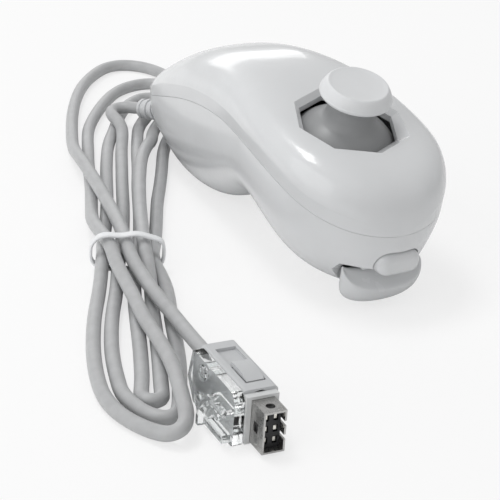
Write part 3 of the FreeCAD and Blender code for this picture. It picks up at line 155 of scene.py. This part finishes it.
class Finish:
    """Procedural look of a material or a world, and the nodes that make it."""

    def __init__(self, owner, end="ShaderNodeOutputMaterial"):
        owner.use_nodes = True
        self.owner = owner
        self.tree = owner.node_tree
        self.tree.nodes.clear()
        self.output = self.tree.nodes.new(end)

    def node(self, kind, settings=None, sockets=None, output=0):
        """Adds a node: its settings first, then the values or links of its sockets."""
        made = self.tree.nodes.new(kind)
        for name, value in (settings or {}).items():
            if name == "stops":
                for element, (place, tone) in zip(self.stops(made, len(value)), value):
                    element.position = place
                    element.color = (tone, tone, tone, 1)
            else:
                setattr(made, name, value)
        for key, value in (sockets or {}).items():
            if isinstance(value, Value):
                self.tree.links.new(value.socket, made.inputs[key])
            else:
                made.inputs[key].default_value = value
        return Value(self, made.outputs[output])

    def stops(self, ramp, count):
        elements = ramp.color_ramp.elements
        while len(elements) < count:
            elements.new(0.5)
        return elements

    def place(self):
        return self.node("ShaderNodeTexCoord", output="Object")

    def noise(self, spacing, detail, stretch=(1, 1, 1)):
        """Noise whose lumps lie about that many metres apart."""
        spread = self.node("ShaderNodeMapping", sockets={"Vector": self.place(), "Scale": stretch})
        return self.node(
            "ShaderNodeTexNoise", sockets={"Vector": spread, "Scale": 1 / spacing, "Detail": detail}
        )

    def ramp(self, factor, stops):
        return self.node("ShaderNodeValToRGB", {"stops": stops}, {"Fac": factor})

    def mix(self, factor, first, second):
        sockets = {0: factor, FIRST_COLOUR: (*first, 1), SECOND_COLOUR: (*second, 1)}
        return self.node("ShaderNodeMix", {"data_type": "RGBA"}, sockets, output=MIXED_COLOUR)

    def bump(self, height, strength, depth):
        sockets = {"Height": height, "Strength": strength, "Distance": depth}
        return self.node("ShaderNodeBump", sockets=sockets)

    def seen_rays(self):
        """1 for what the eye meets straight or through clear plastic, and 0 for all other light."""
        straight = self.node("ShaderNodeLightPath", output="Is Camera Ray")
        return straight + self.node("ShaderNodeLightPath", output="Is Transmission Ray")

    def ends(self, shader):
        """Leads that shader to the surface and gives the finished material or world."""
        self.tree.links.new(shader.socket, self.output.inputs["Surface"])
        return self.owner

    def surface(self, sockets):
        return self.ends(self.node("ShaderNodeBsdfPrincipled", sockets=sockets))


def finish_named(name):
    return Finish(bpy.data.materials.new(name))


def tinted(tone, gain):
    """The same colour, lighter or darker."""
    return tuple(min(1.0, part * gain) for part in tone)


def gloss(name, tone, roughness, coat):
    """Moulded plastic with a soft gloss, faint flow marks and handling haze."""
    finish = finish_named(name)
    broad = finish.noise(spacing=18 * MM, detail=3)
    haze = finish.noise(spacing=5 * MM, detail=4)
    peel = finish.noise(spacing=1.1 * MM, detail=2)
    patches = finish.ramp(broad, ((0.35, 0.0), (0.7, 1.0)))
    shade = finish.mix(patches, tinted(tone, 0.975), tinted(tone, 1.02))
    return finish.surface({
        "Base Color": shade,
        "Roughness": haze * 0.10 + (roughness - 0.05),
        "Coat Weight": coat,
        "Coat Roughness": 0.06,
        "Normal": finish.bump(peel, strength=0.035, depth=0.05 * MM),
    })


def matte(name, tone, roughness, grain, depth=0.06 * MM):
    """Matte moulded plastic with a fine spark-eroded grain."""
    finish = finish_named(name)
    broad = finish.noise(spacing=9 * MM, detail=3)
    fine = finish.noise(spacing=grain, detail=3)
    shade = finish.mix(broad, tinted(tone, 0.93), tinted(tone, 1.05))
    return finish.surface({
        "Base Color": shade,
        "Roughness": fine * 0.16 + (roughness - 0.08),
        "Normal": finish.bump(fine, strength=0.22, depth=depth),
    })


def jacket(name, tone):
    """Soft cord jacket: faint drawn marks and dust."""
    finish = finish_named(name)
    dust = finish.noise(spacing=3 * MM, detail=5)
    fine = finish.noise(spacing=0.6 * MM, detail=3)
    patches = finish.ramp(dust, ((0.3, 0.0), (0.75, 1.0)))
    shade = finish.mix(patches, tinted(tone, 0.92), tinted(tone, 1.06))
    return finish.surface({
        "Base Color": shade,
        "Roughness": dust * 0.18 + 0.34,
        "Sheen Weight": 0.15,
        "Normal": finish.bump(fine, strength=0.10, depth=0.06 * MM),
    })


def clear(name):
    """Clear moulded plastic with faint flow lines."""
    finish = finish_named(name)
    flow = finish.noise(spacing=2.2 * MM, detail=3)
    return finish.surface({
        "Base Color": (0.97, 0.985, 0.985, 1),
        "Roughness": flow * 0.06 + 0.015,
        "IOR": 1.49,
        "Transmission Weight": 1.0,
        "Normal": finish.bump(flow, strength=0.16, depth=0.25 * MM),
    })


def metal(name, tone, roughness):
    """Plated stamped steel with fine drawn scratches."""
    finish = finish_named(name)
    drawn = finish.noise(spacing=0.12 * MM, detail=3, stretch=(1, 0.08, 1))
    stain = finish.noise(spacing=2.5 * MM, detail=4)
    shade = finish.mix(stain, tinted(tone, 0.78), tinted(tone, 1.12))
    return finish.surface({
        "Base Color": shade,
        "Metallic": 1.0,
        "Roughness": drawn * 0.12 + stain * 0.08 + (roughness - 0.10),
        "Normal": finish.bump(drawn, strength=0.05, depth=0.02 * MM),
    })


TRACKS_PER_METRE = 260.0


def board(name):
    """Circuit board: green mask over faint copper tracks."""
    finish = finish_named(name)
    tracks = finish.node(
        "ShaderNodeTexBrick", {"offset": 0.37},
        {"Vector": finish.place(), "Scale": TRACKS_PER_METRE, "Mortar Size": 0.03}, output="Fac",
    )
    shade = finish.mix(tracks, (0.012, 0.12, 0.05), (0.03, 0.24, 0.09))
    return finish.surface({
        "Base Color": shade,
        "Roughness": tracks * 0.1 + 0.3,
        "Normal": finish.bump(tracks, strength=0.25, depth=0.05 * MM),
    })


def dress(material, *nodes):
    """Gives CAD nodes that one finish."""
    for name in nodes:
        mesh = NODES[name].data
        mesh.materials.clear()
        mesh.materials.append(material)


def piece_from(name, mesh, material, body):
    """Adds a piece with its finish, on its body, in its material slot."""
    piece = bpy.data.objects.new(name, mesh)
    bpy.context.scene.collection.objects.link(piece)
    piece.data.materials.append(material)
    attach(piece, body)
    return piece


# Middle of the stick gate's rim, where the part's source has it

GATE_PLACE = (0, -28.62 * MM, 36.47 * MM)
GATE_TILT = math.radians(14.08)
GATE = Matrix.Translation(GATE_PLACE) @ Matrix.Rotation(GATE_TILT, 4, "X")


# Meshes of new pieces

TURNED_STEPS = 96
WELD = 0.004 * MM


def shaded(mesh):
    mesh.polygons.foreach_set("use_smooth", [True] * len(mesh.polygons))
    return mesh


def mesh_of(work, name):
    """Ends a bmesh as a smoothly shaded mesh with its faces outwards."""
    bmesh.ops.recalc_face_normals(work, faces=work.faces)
    mesh = bpy.data.meshes.new(name)
    work.to_mesh(mesh)
    work.free()
    return shaded(mesh)


def hoop(work, ring, after):
    """Faces between two closed rings with as many points."""
    for step in range(len(ring)):
        other = (step + 1) % len(ring)
        work.faces.new((ring[step], ring[other], after[other], after[step]))


def held(name, mesh):
    """Object that carries a mesh while its modifiers are set."""
    holder = bpy.data.objects.new(name, mesh)
    bpy.context.scene.collection.objects.link(holder)
    return holder


def applied(name, holder):
    """Mesh with that object's modifiers applied; the object goes."""
    final = bpy.data.meshes.new_from_object(holder.evaluated_get(bpy.context.evaluated_depsgraph_get()))
    bpy.data.objects.remove(holder)
    final.name = name
    return shaded(final)


def smooth_line(name, points):
    """Curve of one open spline with those points, in metres, as its control points."""
    curve = bpy.data.curves.new(name, "CURVE")
    curve.dimensions = "3D"
    spline = curve.splines.new("NURBS")
    spline.points.add(len(points) - 1)
    for point, place in zip(spline.points, points):
        point.co = (*place, 1)
    spline.order_u = 3
    spline.use_endpoint_u = True
    return curve


def turned(name, outline):
    """Closed shape turned round the stick's axis, from radius and height in millimetres."""
    line = smooth_line(name + "_line", [(radius * MM, 0, height * MM) for radius, height in outline])
    line.resolution_u = 6
    holder = bpy.data.objects.new(name + "_line", line)
    path = [vertex.co.copy() for vertex in bpy.data.meshes.new_from_object(holder).vertices]
    bpy.data.objects.remove(holder)
    work = bmesh.new()
    rings = []
    for step in range(TURNED_STEPS):
        spin = Matrix.Rotation(2 * math.pi * step / TURNED_STEPS, 4, "Z")
        rings.append([work.verts.new(GATE @ (spin @ place)) for place in path])
    for ring, after in zip(rings, rings[1:] + rings[:1]):
        for step in range(len(path) - 1):
            work.faces.new((ring[step], after[step], after[step + 1], ring[step + 1]))
    bmesh.ops.remove_doubles(work, verts=work.verts, dist=WELD)
    return mesh_of(work, name)


def softened(name, node, shape, voxel, rounds):
    """Copy of a CAD node, reshaped by a function of place, remeshed and rounded off."""
    mesh = NODES[node].data.copy()
    for vertex in mesh.vertices:
        vertex.co = shape(vertex.co.copy())
    mesh.materials.clear()
    holder = held(name, mesh)
    remesh = holder.modifiers.new("skin", "REMESH")
    remesh.mode = "VOXEL"
    remesh.voxel_size = voxel
    ease = holder.modifiers.new("ease", "SMOOTH")
    ease.factor = 0.5
    ease.iterations = rounds
    return applied(name, holder)


def rounded(name, mesh, levels):
    """The cage as a subdivision surface, applied."""
    holder = held(name, mesh)
    skin = holder.modifiers.new("skin", "SUBSURF")
    skin.levels = levels
    skin.render_levels = levels
    return applied(name, holder)


# Cord route, in millimetres: the same places as in the part's source

TIE = Vector((-38.5, -4.0, 0))
HANDLE_RUN = (0.41, 0.912)
PLUG_RUN = (0.39, 0.921)
FLOOR = 1.65
LOW = 3.05
OVER = 6.5
CROSS = 5.35
PLUG_PLACE = Vector((-54.2, -80.0, 0))
PLUG_TURN = math.radians(-4.5)
HOUSING_BACK = 13.6
RELIEF_END = Vector((-3.0, 63.2, 6.7))
RELIEF_BEND = Vector((-0.6, 56.1, 8.5))
STRAIGHT = 2.6


def at(x, y, z=FLOOR):
    return Vector((x, y, z))


def from_tie(direction, along, across, level):
    x, y = direction
    return Vector((TIE.x + x * along + y * across, TIE.y + y * along - x * across, level))


def above(along, across, level=FLOOR):
    """Place on the handle's side of the tie."""
    return from_tie(HANDLE_RUN, along, across, level)


def below(along, across, level=FLOOR):
    """Place on the plug's side of the tie."""
    return from_tie(PLUG_RUN, -along, across, level)


def in_plug(across, back, level):
    """Place given in the plug's own frame."""
    return PLUG_PLACE + Matrix.Rotation(PLUG_TURN, 3, "Z") @ Vector((across, back, level))


LEAD_OUT = [
    RELIEF_END, RELIEF_END + (RELIEF_END - RELIEF_BEND).normalized() * STRAIGHT,
    at(-5.2, 67.9, 5.7), at(-7.9, 69.0, 5.3), at(-10.4, 67.6, 5.2), at(-11.2, 64.4, 5.1),
    at(-11.0, 60.9, 4.7), at(-12.0, 56.8, 3.7), above(59, -1.45, 1.9), above(49, -1.75),
]
FIRST_DOWN = [
    above(36, -2.2), above(22, -2.45), above(5, -3.35, 1.8), above(-8, -4.82, LOW),
    below(21.4, -6.2), below(33, -7.9), below(44.5, -8.8), below(53, -8.9), below(60.3, -8.5),
    below(66.6, -7.95), below(72, -5.4), below(75.3, -2.6), below(76.4, 0.3), below(74.6, 2.5),
    below(70.5, 3.3), below(64.5, 3.8), below(57.4, 4.5), below(48, 4.85), below(35, 4.7),
    below(22, 5.05), below(15, 4.25, 1.95),
]
FIRST_UP = [
    above(-8, 2.65, LOW), above(4.7, 4.25, 1.9), above(16, 5.2), above(26, 5.9), above(36, 7.2),
    above(47, 8.35), above(56, 9.1), at(-3.3, 49.4), at(1.6, 55.7), at(7.2, 60.7), at(11.5, 67.4),
    at(12.6, 73.8), at(11.2, 79.6), at(6.2, 82.0), at(0.2, 78.5), at(-5.6, 71.8),
    above(72.7, -2.75), above(62.3, -4.8), above(52.2, -5.5), above(42, -5.9), above(26, -6.2),
    above(14, -6.9), above(4, -7.9, 1.8),
]
SECOND_DOWN = [
    above(-8, -8.43, LOW), below(21.4, -10.0), below(33, -11.7), below(44.4, -12.6),
    below(53, -12.8), below(61, -12.5), below(68.3, -11.5), below(74.2, -9.1), below(78.6, -5.7),
    below(81.6, -2.4, 1.8), below(83.8, 0.3, 2.6), below(83.4, 2.8, 3.8), below(80.2, 3.7, 4.8),
    below(74.5, 3.3, CROSS), below(67.2, 3.0, CROSS), below(60.6, 2.4, CROSS),
    below(54.4, 1.3, CROSS), below(48.4, 0.0, CROSS), below(40.7, -1.9, CROSS),
    below(32.8, -3.1, 5.5), below(24.5, -4.7, 5.8), below(16, -6.3, 6.2),
]
SECOND_UP = [
    above(-8, -6.8, OVER), above(-0.5, -8.7, 6.1), above(7, -10.1, 4.8), above(15, -10.4, 3.1),
    above(24, -10.1), above(38, -9.85), above(48, -10.25), above(57, -10.05), above(66, -10.0),
    at(-17.0, 67.1), at(-11.2, 75.0), at(-5.0, 82.2), at(1.0, 88.0), at(6.8, 91.0), at(12.6, 91.6),
    at(16.4, 88.0, 2.1), at(15.8, 82.4, 4.4), at(11.6, 77.0, 5.6), at(6.0, 71.6, 5.0),
    at(1.0, 67.4, 2.7), at(-4.5, 62.8), above(64, 2.9), above(56, 2.5), above(47, 2.3),
    above(35, 1.6), above(22, 1.4), above(12, 1.0), above(4, 0.45, 1.9),
]
THIRD_DOWN = [
    above(-8, -1.15, LOW), below(21, -2.4), below(33.2, -2.75), below(44.5, -2.85), below(53, -3.1),
    below(60.5, -3.45), below(66.0, -4.05), below(68.25, -4.1), below(69.45, -2.9),
    below(69.45, -1.2), below(68.2, 0.0), below(66.1, 0.1), below(60, 0.3), below(50, 0.75),
    below(40, 0.95), below(30, 0.95), below(22, 1.35, 2.4), below(15, 1.15, 4.5),
]
THIRD_UP = [
    above(-8, 0.8, OVER), above(4, 0.95, 5.75), above(16, 1.1, 5.45), above(26, 1.5, 5.4),
    above(36, 2.1, 5.4), above(46, 3.0, 5.4), above(56, 5.1, 4.6), above(64, 6.7, 2.2),
    at(-2.3, 58.5), at(2.5, 63.2, 2.1), at(7.6, 66.8, 5.1), at(14.0, 69.9, 5.5),
    at(18.6, 75.6, 4.0), at(21.2, 84.8), at(21.4, 94.6), at(19.2, 102.6), at(14.2, 107.3),
    at(8.6, 107.6), at(2.5, 103.7), at(-5.0, 96.2), at(-11.4, 87.0), at(-17.0, 77.2),
    at(-21.8, 67.4), above(60, -14.0, 1.9), above(50, -13.1, 4.1), above(42, -11.8, 5.4),
    above(34, -10.0, 5.5), above(24, -7.8, 5.45), above(14.6, -5.9, 5.45), above(4, -4.2, 5.9),
    above(-8, -3.0, OVER),
]
LAST_RUN = [
    below(15, -2.5, 6.2), below(24, -0.4, 5.8), below(31.8, 1.9, 5.5), below(39.6, 4.4, 5.45),
]
LEAD_TO_PLUG = [
    at(-50.9, -49.4, 5.6), in_plug(0.4, HOUSING_BACK + 8, 6.0), in_plug(0.4, HOUSING_BACK, 6.0),
]


def route():
    """Whole cord from the relief to the plug, in metres."""
    runs = LEAD_OUT + FIRST_DOWN + FIRST_UP + SECOND_DOWN + SECOND_UP + THIRD_DOWN + THIRD_UP
    runs = runs + LAST_RUN + LEAD_TO_PLUG
    return [point * MM for point in runs]


class CONTROLLER_OT_cord(bpy.types.Operator):
    """Cord from the tail through the hank to the plug, as one smooth spline"""

    bl_idname = "controller.cord"
    bl_label = "Cord and hank"

    def execute(self, context):
        colours, sizes, _ = settings()
        curve = smooth_line("cord", route())
        curve.bevel_depth = sizes.cord_radius
        curve.bevel_resolution = 5
        curve.resolution_u = 8
        cord = piece_from("cord", curve, jacket("cord jacket", colours.cord), "handle")
        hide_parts("lead_out", "cord_hank", "lead_to_plug")
        return {"FINISHED"}


# Band of the tie, in millimetres: its middle, its reach across the hank and its dips between strands

BAND_ALONG = -8
BAND_ACROSS = -2.9
BAND_HALF = 8.3
BAND_DIP = 0.25
BAND_DENTS = 7
BAND_CORNERS = 3.2
BAND_STEPS = 72
BAND_SECTION = (
    (-1, 0.35), (-0.8, 1), (0.8, 1), (1, 0.35), (1, -0.35), (0.8, -1), (-0.8, -1), (-1, -0.35),
)


class CONTROLLER_OT_tie(bpy.types.Operator):
    """Flat white band round the hank, pulled in over the strands"""

    bl_idname = "controller.tie"
    bl_label = "Tie"

    def execute(self, context):
        colours, sizes, _ = settings()
        low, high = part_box("hank_tie")
        middle = above(BAND_ALONG, BAND_ACROSS, 0) * MM
        x, y = HANDLE_RUN
        across = Vector((y, -x, 0)).normalized()
        along = Vector((x, y, 0)).normalized()
        half = BAND_HALF * MM
        rise = (high.z - low.z) / 2 - BAND_DIP * MM
        lift = (high.z + low.z) / 2
        wide = sizes.tie_width / 2
        thick = sizes.tie_thickness / 2
        work = bmesh.new()
        rings = []
        for step in range(BAND_STEPS):
            angle = 2 * math.pi * step / BAND_STEPS
            c, s = math.cos(angle), math.sin(angle)
            reach = (abs(c) ** BAND_CORNERS + abs(s) ** BAND_CORNERS) ** (-1 / BAND_CORNERS)
            dip = BAND_DIP * MM * max(0.0, s) * math.cos(BAND_DENTS * angle)
            out = Vector((c, s)) * reach
            centre = middle + across * (out.x * half) + Vector((0, 0, lift + out.y * rise - dip))
            normal = (across * (c / half) + Vector((0, 0, s / rise))).normalized()
            rings.append([
                work.verts.new(centre + along * (side * wide) + normal * (depth * thick))
                for side, depth in BAND_SECTION
            ])
        for ring, after in zip(rings, rings[1:] + rings[:1]):
            hoop(work, ring, after)
        finish = matte("tie film", colours.tie, roughness=0.45, grain=0.6 * MM)
        band = piece_from("tie_band", mesh_of(work, "tie_band"), finish, "handle")
        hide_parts("hank_tie")
        return {"FINISHED"}


class CONTROLLER_OT_casing(bpy.types.Operator):
    """Finishes of the two casing halves and the strain relief"""

    bl_idname = "controller.casing"
    bl_label = "Casing"

    def execute(self, context):
        colours, sizes, _ = settings()
        shells = gloss("casing gloss", colours.casing, roughness=0.22, coat=0.35)
        dress(shells, "top_shell", "bottom_shell")
        dress(matte("relief rubber", colours.relief, 0.5, sizes.grain), "strain_relief")
        return {"FINISHED"}


# Outlines of the turned pieces: radius and height over the gate's rim, in millimetres

CAP_LINE = (
    (0, 10.5), (3.4, 10.52), (5.9, 10.62), (6.5, 10.74), (6.75, 10.74), (7.0, 10.58), (7.5, 9.9),
    (7.9, 9.1), (8.1, 8.5), (8.14, 8.34), (8.25, 8.24), (8.25, 7.85), (8.1, 7.5), (7.6, 7.2),
    (6.6, 7.05), (0, 7.0),
)
BOOT_LINE = (
    (0, 6.95), (7.0, 6.95), (6.5, 6.7), (5.9, 6.0), (5.6, 4.9), (5.6, 3.7), (5.7, 2.5), (6.3, 1.15),
    (7.85, 0.2), (9.35, -0.9), (10.7, -2.15), (12.0, -3.75), (13.1, -5.7), (13.2, -6.4), (12.3, -6.4),
    (11.4, -4.8), (9.0, -2.8), (6.0, -1.2), (3.0, -0.6), (0, -0.5),
)


class CONTROLLER_OT_stick(bpy.types.Operator):
    """Thumb cap with its creased rim, and the boot whose neck flares into the dome"""

    bl_idname = "controller.stick"
    bl_label = "Thumbstick"

    def execute(self, context):
        colours, sizes, _ = settings()
        grip = matte("cap grip", colours.cap, 0.45, sizes.grain, depth=0.04 * MM)
        cap = piece_from("thumb_cap", turned("thumb_cap", CAP_LINE), grip, "stick")
        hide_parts("stick_cap")
        satin = matte("boot matte", colours.boot, 0.36, sizes.grain, depth=0.04 * MM)
        boot = piece_from("dome_boot", turned("dome_boot", BOOT_LINE), satin, "stick")
        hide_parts("stick_boot")
        return {"FINISHED"}


# Trigger: share of its half width, then y and z in millimetres, round its middle and round its side

CHIN_ROWS = (
    (0.88, (-44.6, 9.0), (-44.4, 9.2)),
    (0.92, (-46.0, 10.1), (-45.0, 10.6)),
    (0.94, (-47.2, 9.6), (-45.3, 10.8)),
    (0.95, (-48.4, 7.9), (-45.6, 10.8)),
    (0.97, (-50.3, 6.3), (-46.0, 10.8)),
    (0.99, (-50.9, 5.8), (-46.3, 10.6)),
    (1.00, (-51.0, 5.1), (-46.4, 10.0)),
    (1.00, (-49.4, 2.5), (-46.2, 8.0)),
    (0.98, (-46.9, 1.0), (-45.7, 6.4)),
    (0.95, (-45.2, 0.9), (-45.2, 5.4)),
    (0.91, (-44.2, 2.0), (-44.4, 5.6)),
    (0.88, (-44.1, 5.8), (-44.2, 7.4)),
)
CHIN_HALF = 10.5
CHIN_STEPS = 14
CHIN_TURN = 2.3


def chin():
    """Trigger: a rounded lip in a U round a finger scoop."""
    work = bmesh.new()
    rings = []
    for step in range(CHIN_STEPS + 1):
        along = 2 * step / CHIN_STEPS - 1
        side = abs(along) ** CHIN_TURN
        ring = []
        for wide, middle, end in CHIN_ROWS:
            x = CHIN_HALF * wide * math.sin(along * math.pi / 2)
            y = middle[0] + (end[0] - middle[0]) * side
            z = middle[1] + (end[1] - middle[1]) * side
            ring.append(work.verts.new(Vector((x, y, z)) * MM))
        rings.append(ring)
    for ring, after in zip(rings, rings[1:]):
        hoop(work, ring, after)
    work.faces.new(rings[0])
    work.faces.new(rings[-1])
    return rounded("finger_trigger", mesh_of(work, "trigger_cage"), levels=3)


# Oval button: what lies before this y goes in by that much, in millimetres, and how it is rounded off

BUTTON_FRONT = -46
BUTTON_DEEPER = 1.1
BUTTON_VOXEL = 0.2
BUTTON_ROUNDS = 5


def drawn_in(place):
    """Sets the oval button a little deeper in its opening, as the photograph shows it."""
    if place.y < BUTTON_FRONT * MM:
        return place + Vector((0, BUTTON_DEEPER * MM, 0))
    return place


class CONTROLLER_OT_front_controls(bpy.types.Operator):
    """Oval button and finger trigger as softened forms"""

    bl_idname = "controller.front_controls"
    bl_label = "Front controls"

    def execute(self, context):
        colours, _, _ = settings()
        finish = gloss("control gloss", colours.controls, roughness=0.26, coat=0.25)
        trigger = piece_from("finger_trigger", chin(), finish, "trigger")
        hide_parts("trigger")
        oval = softened("oval_button", "small_button", drawn_in, BUTTON_VOXEL * MM, BUTTON_ROUNDS)
        button = piece_from("oval_button", oval, finish, "button")
        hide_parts("small_button")
        return {"FINISHED"}


# Colours of the plug's connector

INSULATOR_TONE = (0.012, 0.012, 0.014)
SHELL_TONE = (0.56, 0.555, 0.545)
CONTACT_TONE = (0.86, 0.84, 0.78)


class CONTROLLER_OT_plug(bpy.types.Operator):
    """Finishes of the plug's case, housing, metal shell and contacts"""

    bl_idname = "controller.plug"
    bl_label = "Plug"

    def execute(self, context):
        colours, sizes, _ = settings()
        dress(matte("housing satin", colours.housing, 0.4, sizes.grain), "plug_housing", "plug_latch")
        dress(matte("collar plastic", colours.collar, 0.45, sizes.grain), "plug_front_frame")
        dress(clear("clear plastic"), "plug_case", "plug_hook", "plug_screws")
        dress(matte("insulator black", INSULATOR_TONE, 0.4, sizes.grain), "connector_insulator")
        dress(metal("plated shell", SHELL_TONE, 0.28), "connector_shell")
        dress(metal("contact plating", CONTACT_TONE, 0.22), "connector_contacts")
        return {"FINISHED"}


# Plastics inside the casing with their colour, roughness and nodes, and what is plain steel there

INSIDE_PLASTICS = (
    ("chip resin", (0.02, 0.02, 0.022), 0.5, ("controller_chip", "motion_sensor")),
    ("capacitor ceramic", (0.36, 0.27, 0.16), 0.45, ("board_capacitors",)),
    ("yoke resin", (0.03, 0.03, 0.033), 0.45, ("fore_aft_yoke", "side_yoke", "return_plate")),
    ("shaft resin", (0.72, 0.72, 0.70), 0.45, ("stick_shaft", "lead_socket", "lead_plug")),
    ("sensor resin", (0.05, 0.16, 0.08), 0.5, ("fore_aft_sensor", "side_sensor")),
    ("pad silicone", (0.07, 0.07, 0.075), 0.6, ("button_pads",)),
)
STEEL_TONE = (0.55, 0.55, 0.56)
STEEL_NODES = ("stick_base", "stick_return_spring", "board_screws", "shell_screws", "trigger_pin")

# How far the plate under the stick goes down

PLATE_TRAVEL = 0.3 * MM


class CONTROLLER_OT_inside(bpy.types.Operator):
    """Finishes of the boards, the stick's mechanism and the fasteners inside"""

    bl_idname = "controller.inside"
    bl_label = "Inside"

    def execute(self, context):
        colours, sizes, _ = settings()
        dress(board("circuit board"), "main_board", "button_board")
        for name, tone, roughness, nodes in INSIDE_PLASTICS:
            dress(matte(name, tone, roughness, sizes.grain), *nodes)
        dress(metal("plain steel", STEEL_TONE, 0.3), *STEEL_NODES)
        dress(jacket("lead jacket", tinted(colours.cord, 0.9)), "inner_lead")
        self.add_spring()
        return {"FINISHED"}

    def add_spring(self):
        """Return spring as its own copy of the coil, on the handle's body."""
        coil = NODES["stick_return_spring"]
        axis = GATE.to_3x3() @ Vector((0, 0, 1))
        heights = [vertex.co @ axis for vertex in coil.data.vertices]
        mesh = coil.data.copy()
        steel = mesh.materials.pop()
        spring = piece_from("return_coil", mesh, steel, "handle")
        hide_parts("stick_return_spring")
        tall = max(heights) - min(heights)
        1 - PLATE_TRAVEL / tall
        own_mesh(spring)


# Camera, floor and lights: places and sizes in metres, sensor in millimetres, power in watts

AIM = Vector((-23.573, -28.980, 9.738)) * MM
AZIMUTH = math.radians(-31.801)
ELEVATION = math.radians(25.461)
ROLL = math.radians(-4.020)
SENSOR = 36
NEAREST = 0.01
LAMPS = (
    ("window", (-0.20, 0.20, 0.85), (-0.01, -0.03, 0.03), (0.34, 0.26), 2.5),
    ("left", (-0.85, -0.10, 0.45), (0, 0, 0.02), (0.9, 0.9), 2.9),
    ("back", (0.25, 0.85, 0.30), (0, 0, 0.02), (0.6, 0.2), 0.8),
)
WHITE = (1, 1, 1, 1)
FLOOR_REACH = 3
FLOOR_DROP = 0.05 * MM


def add_lamp(name, place, aim, size, power):
    data = bpy.data.lights.new(name, "AREA")
    data.shape = "RECTANGLE"
    data.size, data.size_y = size
    data.energy = power
    lamp = bpy.data.objects.new(name, data)
    lamp.location = place
    lamp.rotation_euler = (Vector(aim) - Vector(place)).to_track_quat("-Z", "Y").to_euler()
    bpy.context.scene.collection.objects.link(lamp)


class CONTROLLER_OT_stage(bpy.types.Operator):
    """Pale floor, soft lamps, plain world and the camera at the photograph's angle"""

    bl_idname = "controller.stage"
    bl_label = "Stage"

    def execute(self, context):
        _, _, stage = settings()
        scene = context.scene
        scene.view_settings.view_transform = "Standard"
        self.add_camera(scene, stage)
        self.add_floor(scene, stage)
        self.add_world(scene, stage)
        for lamp in LAMPS:
            add_lamp(*lamp)
        return {"FINISHED"}

    def add_camera(self, scene, stage):
        back = Vector((
            math.sin(AZIMUTH) * math.cos(ELEVATION),
            -math.cos(AZIMUTH) * math.cos(ELEVATION),
            math.sin(ELEVATION),
        ))
        level = Vector((math.cos(AZIMUTH), math.sin(AZIMUTH), 0))
        upright = back.cross(level)
        right = level * math.cos(ROLL) - upright * math.sin(ROLL)
        up = level * math.sin(ROLL) + upright * math.cos(ROLL)
        data = bpy.data.cameras.new("camera")
        data.lens = stage.lens
        data.sensor_width = SENSOR
        data.clip_start = NEAREST
        camera = bpy.data.objects.new("camera", data)
        turn = Matrix((right, up, back)).transposed().to_4x4()
        camera.matrix_world = Matrix.Translation(AIM + back * stage.distance) @ turn
        scene.collection.objects.link(camera)
        scene.camera = camera

    def add_floor(self, scene, stage):
        mesh = bpy.data.meshes.new("floor")
        work = bmesh.new()
        bmesh.ops.create_grid(work, x_segments=1, y_segments=1, size=FLOOR_REACH)
        work.to_mesh(mesh)
        work.free()
        floor = bpy.data.objects.new("floor", mesh)
        floor.location = (0, 0, -FLOOR_DROP)
        scene.collection.objects.link(floor)
        finish = finish_named("floor paper")
        shade = finish.node("ShaderNodeBsdfDiffuse", sockets={"Color": (stage.floor,) * 3 + (1,)})
        glow = finish.node("ShaderNodeEmission", sockets={"Color": WHITE, "Strength": 1.0})
        share_glow = finish.seen_rays() * (1 - stage.shadow)
        mixed = finish.node("ShaderNodeMixShader", sockets={0: share_glow, 1: shade, 2: glow})
        mesh.materials.append(finish.ends(mixed))

    def add_world(self, scene, stage):
        sky = Finish(bpy.data.worlds.new("studio"), "ShaderNodeOutputWorld")
        dim = sky.node("ShaderNodeBackground", sockets={"Color": WHITE, "Strength": stage.world})
        white = sky.node("ShaderNodeBackground", sockets={"Color": WHITE, "Strength": 1.0})
        mixed = sky.node("ShaderNodeMixShader", sockets={0: sky.seen_rays(), 1: dim, 2: white})
        scene.world = sky.ends(mixed)


class CONTROLLER_PT_panel(bpy.types.Panel):
    """Steps that finish the controller, with their settings"""

    bl_idname = "CONTROLLER_PT_panel"
    bl_label = "Controller"
    bl_space_type = "VIEW_3D"
    bl_region_type = "UI"
    bl_category = "Controller"

    def draw(self, context):
        for step in STEPS:
            self.layout.operator(step.bl_idname)
        for group in settings():
            box = self.layout.box()
            for name in group.bl_rna.properties.keys():
                if name not in {"rna_type", "name"}:
                    box.prop(group, name)


STEPS = (
    CONTROLLER_OT_stage,
    CONTROLLER_OT_tie,
    CONTROLLER_OT_cord,
    CONTROLLER_OT_casing,
    CONTROLLER_OT_stick,
    CONTROLLER_OT_front_controls,
    CONTROLLER_OT_plug,
    CONTROLLER_OT_inside,
)
CLASSES = (ControllerColours, ControllerSizes, ControllerStage) + STEPS + (CONTROLLER_PT_panel,)


def register():
    for made in CLASSES:
        bpy.utils.register_class(made)
    bpy.types.Scene.controller_colours = bpy.props.PointerProperty(type=ControllerColours)
    bpy.types.Scene.controller_sizes = bpy.props.PointerProperty(type=ControllerSizes)
    bpy.types.Scene.controller_stage = bpy.props.PointerProperty(type=ControllerStage)


def unregister():
    del bpy.types.Scene.controller_stage
    del bpy.types.Scene.controller_sizes
    del bpy.types.Scene.controller_colours
    for made in reversed(CLASSES):
        bpy.utils.unregister_class(made)


def main():
    register()
    for step in STEPS:
        getattr(bpy.ops.controller, step.bl_idname.split(".")[1])()


if __name__ == "__main__":
    main()
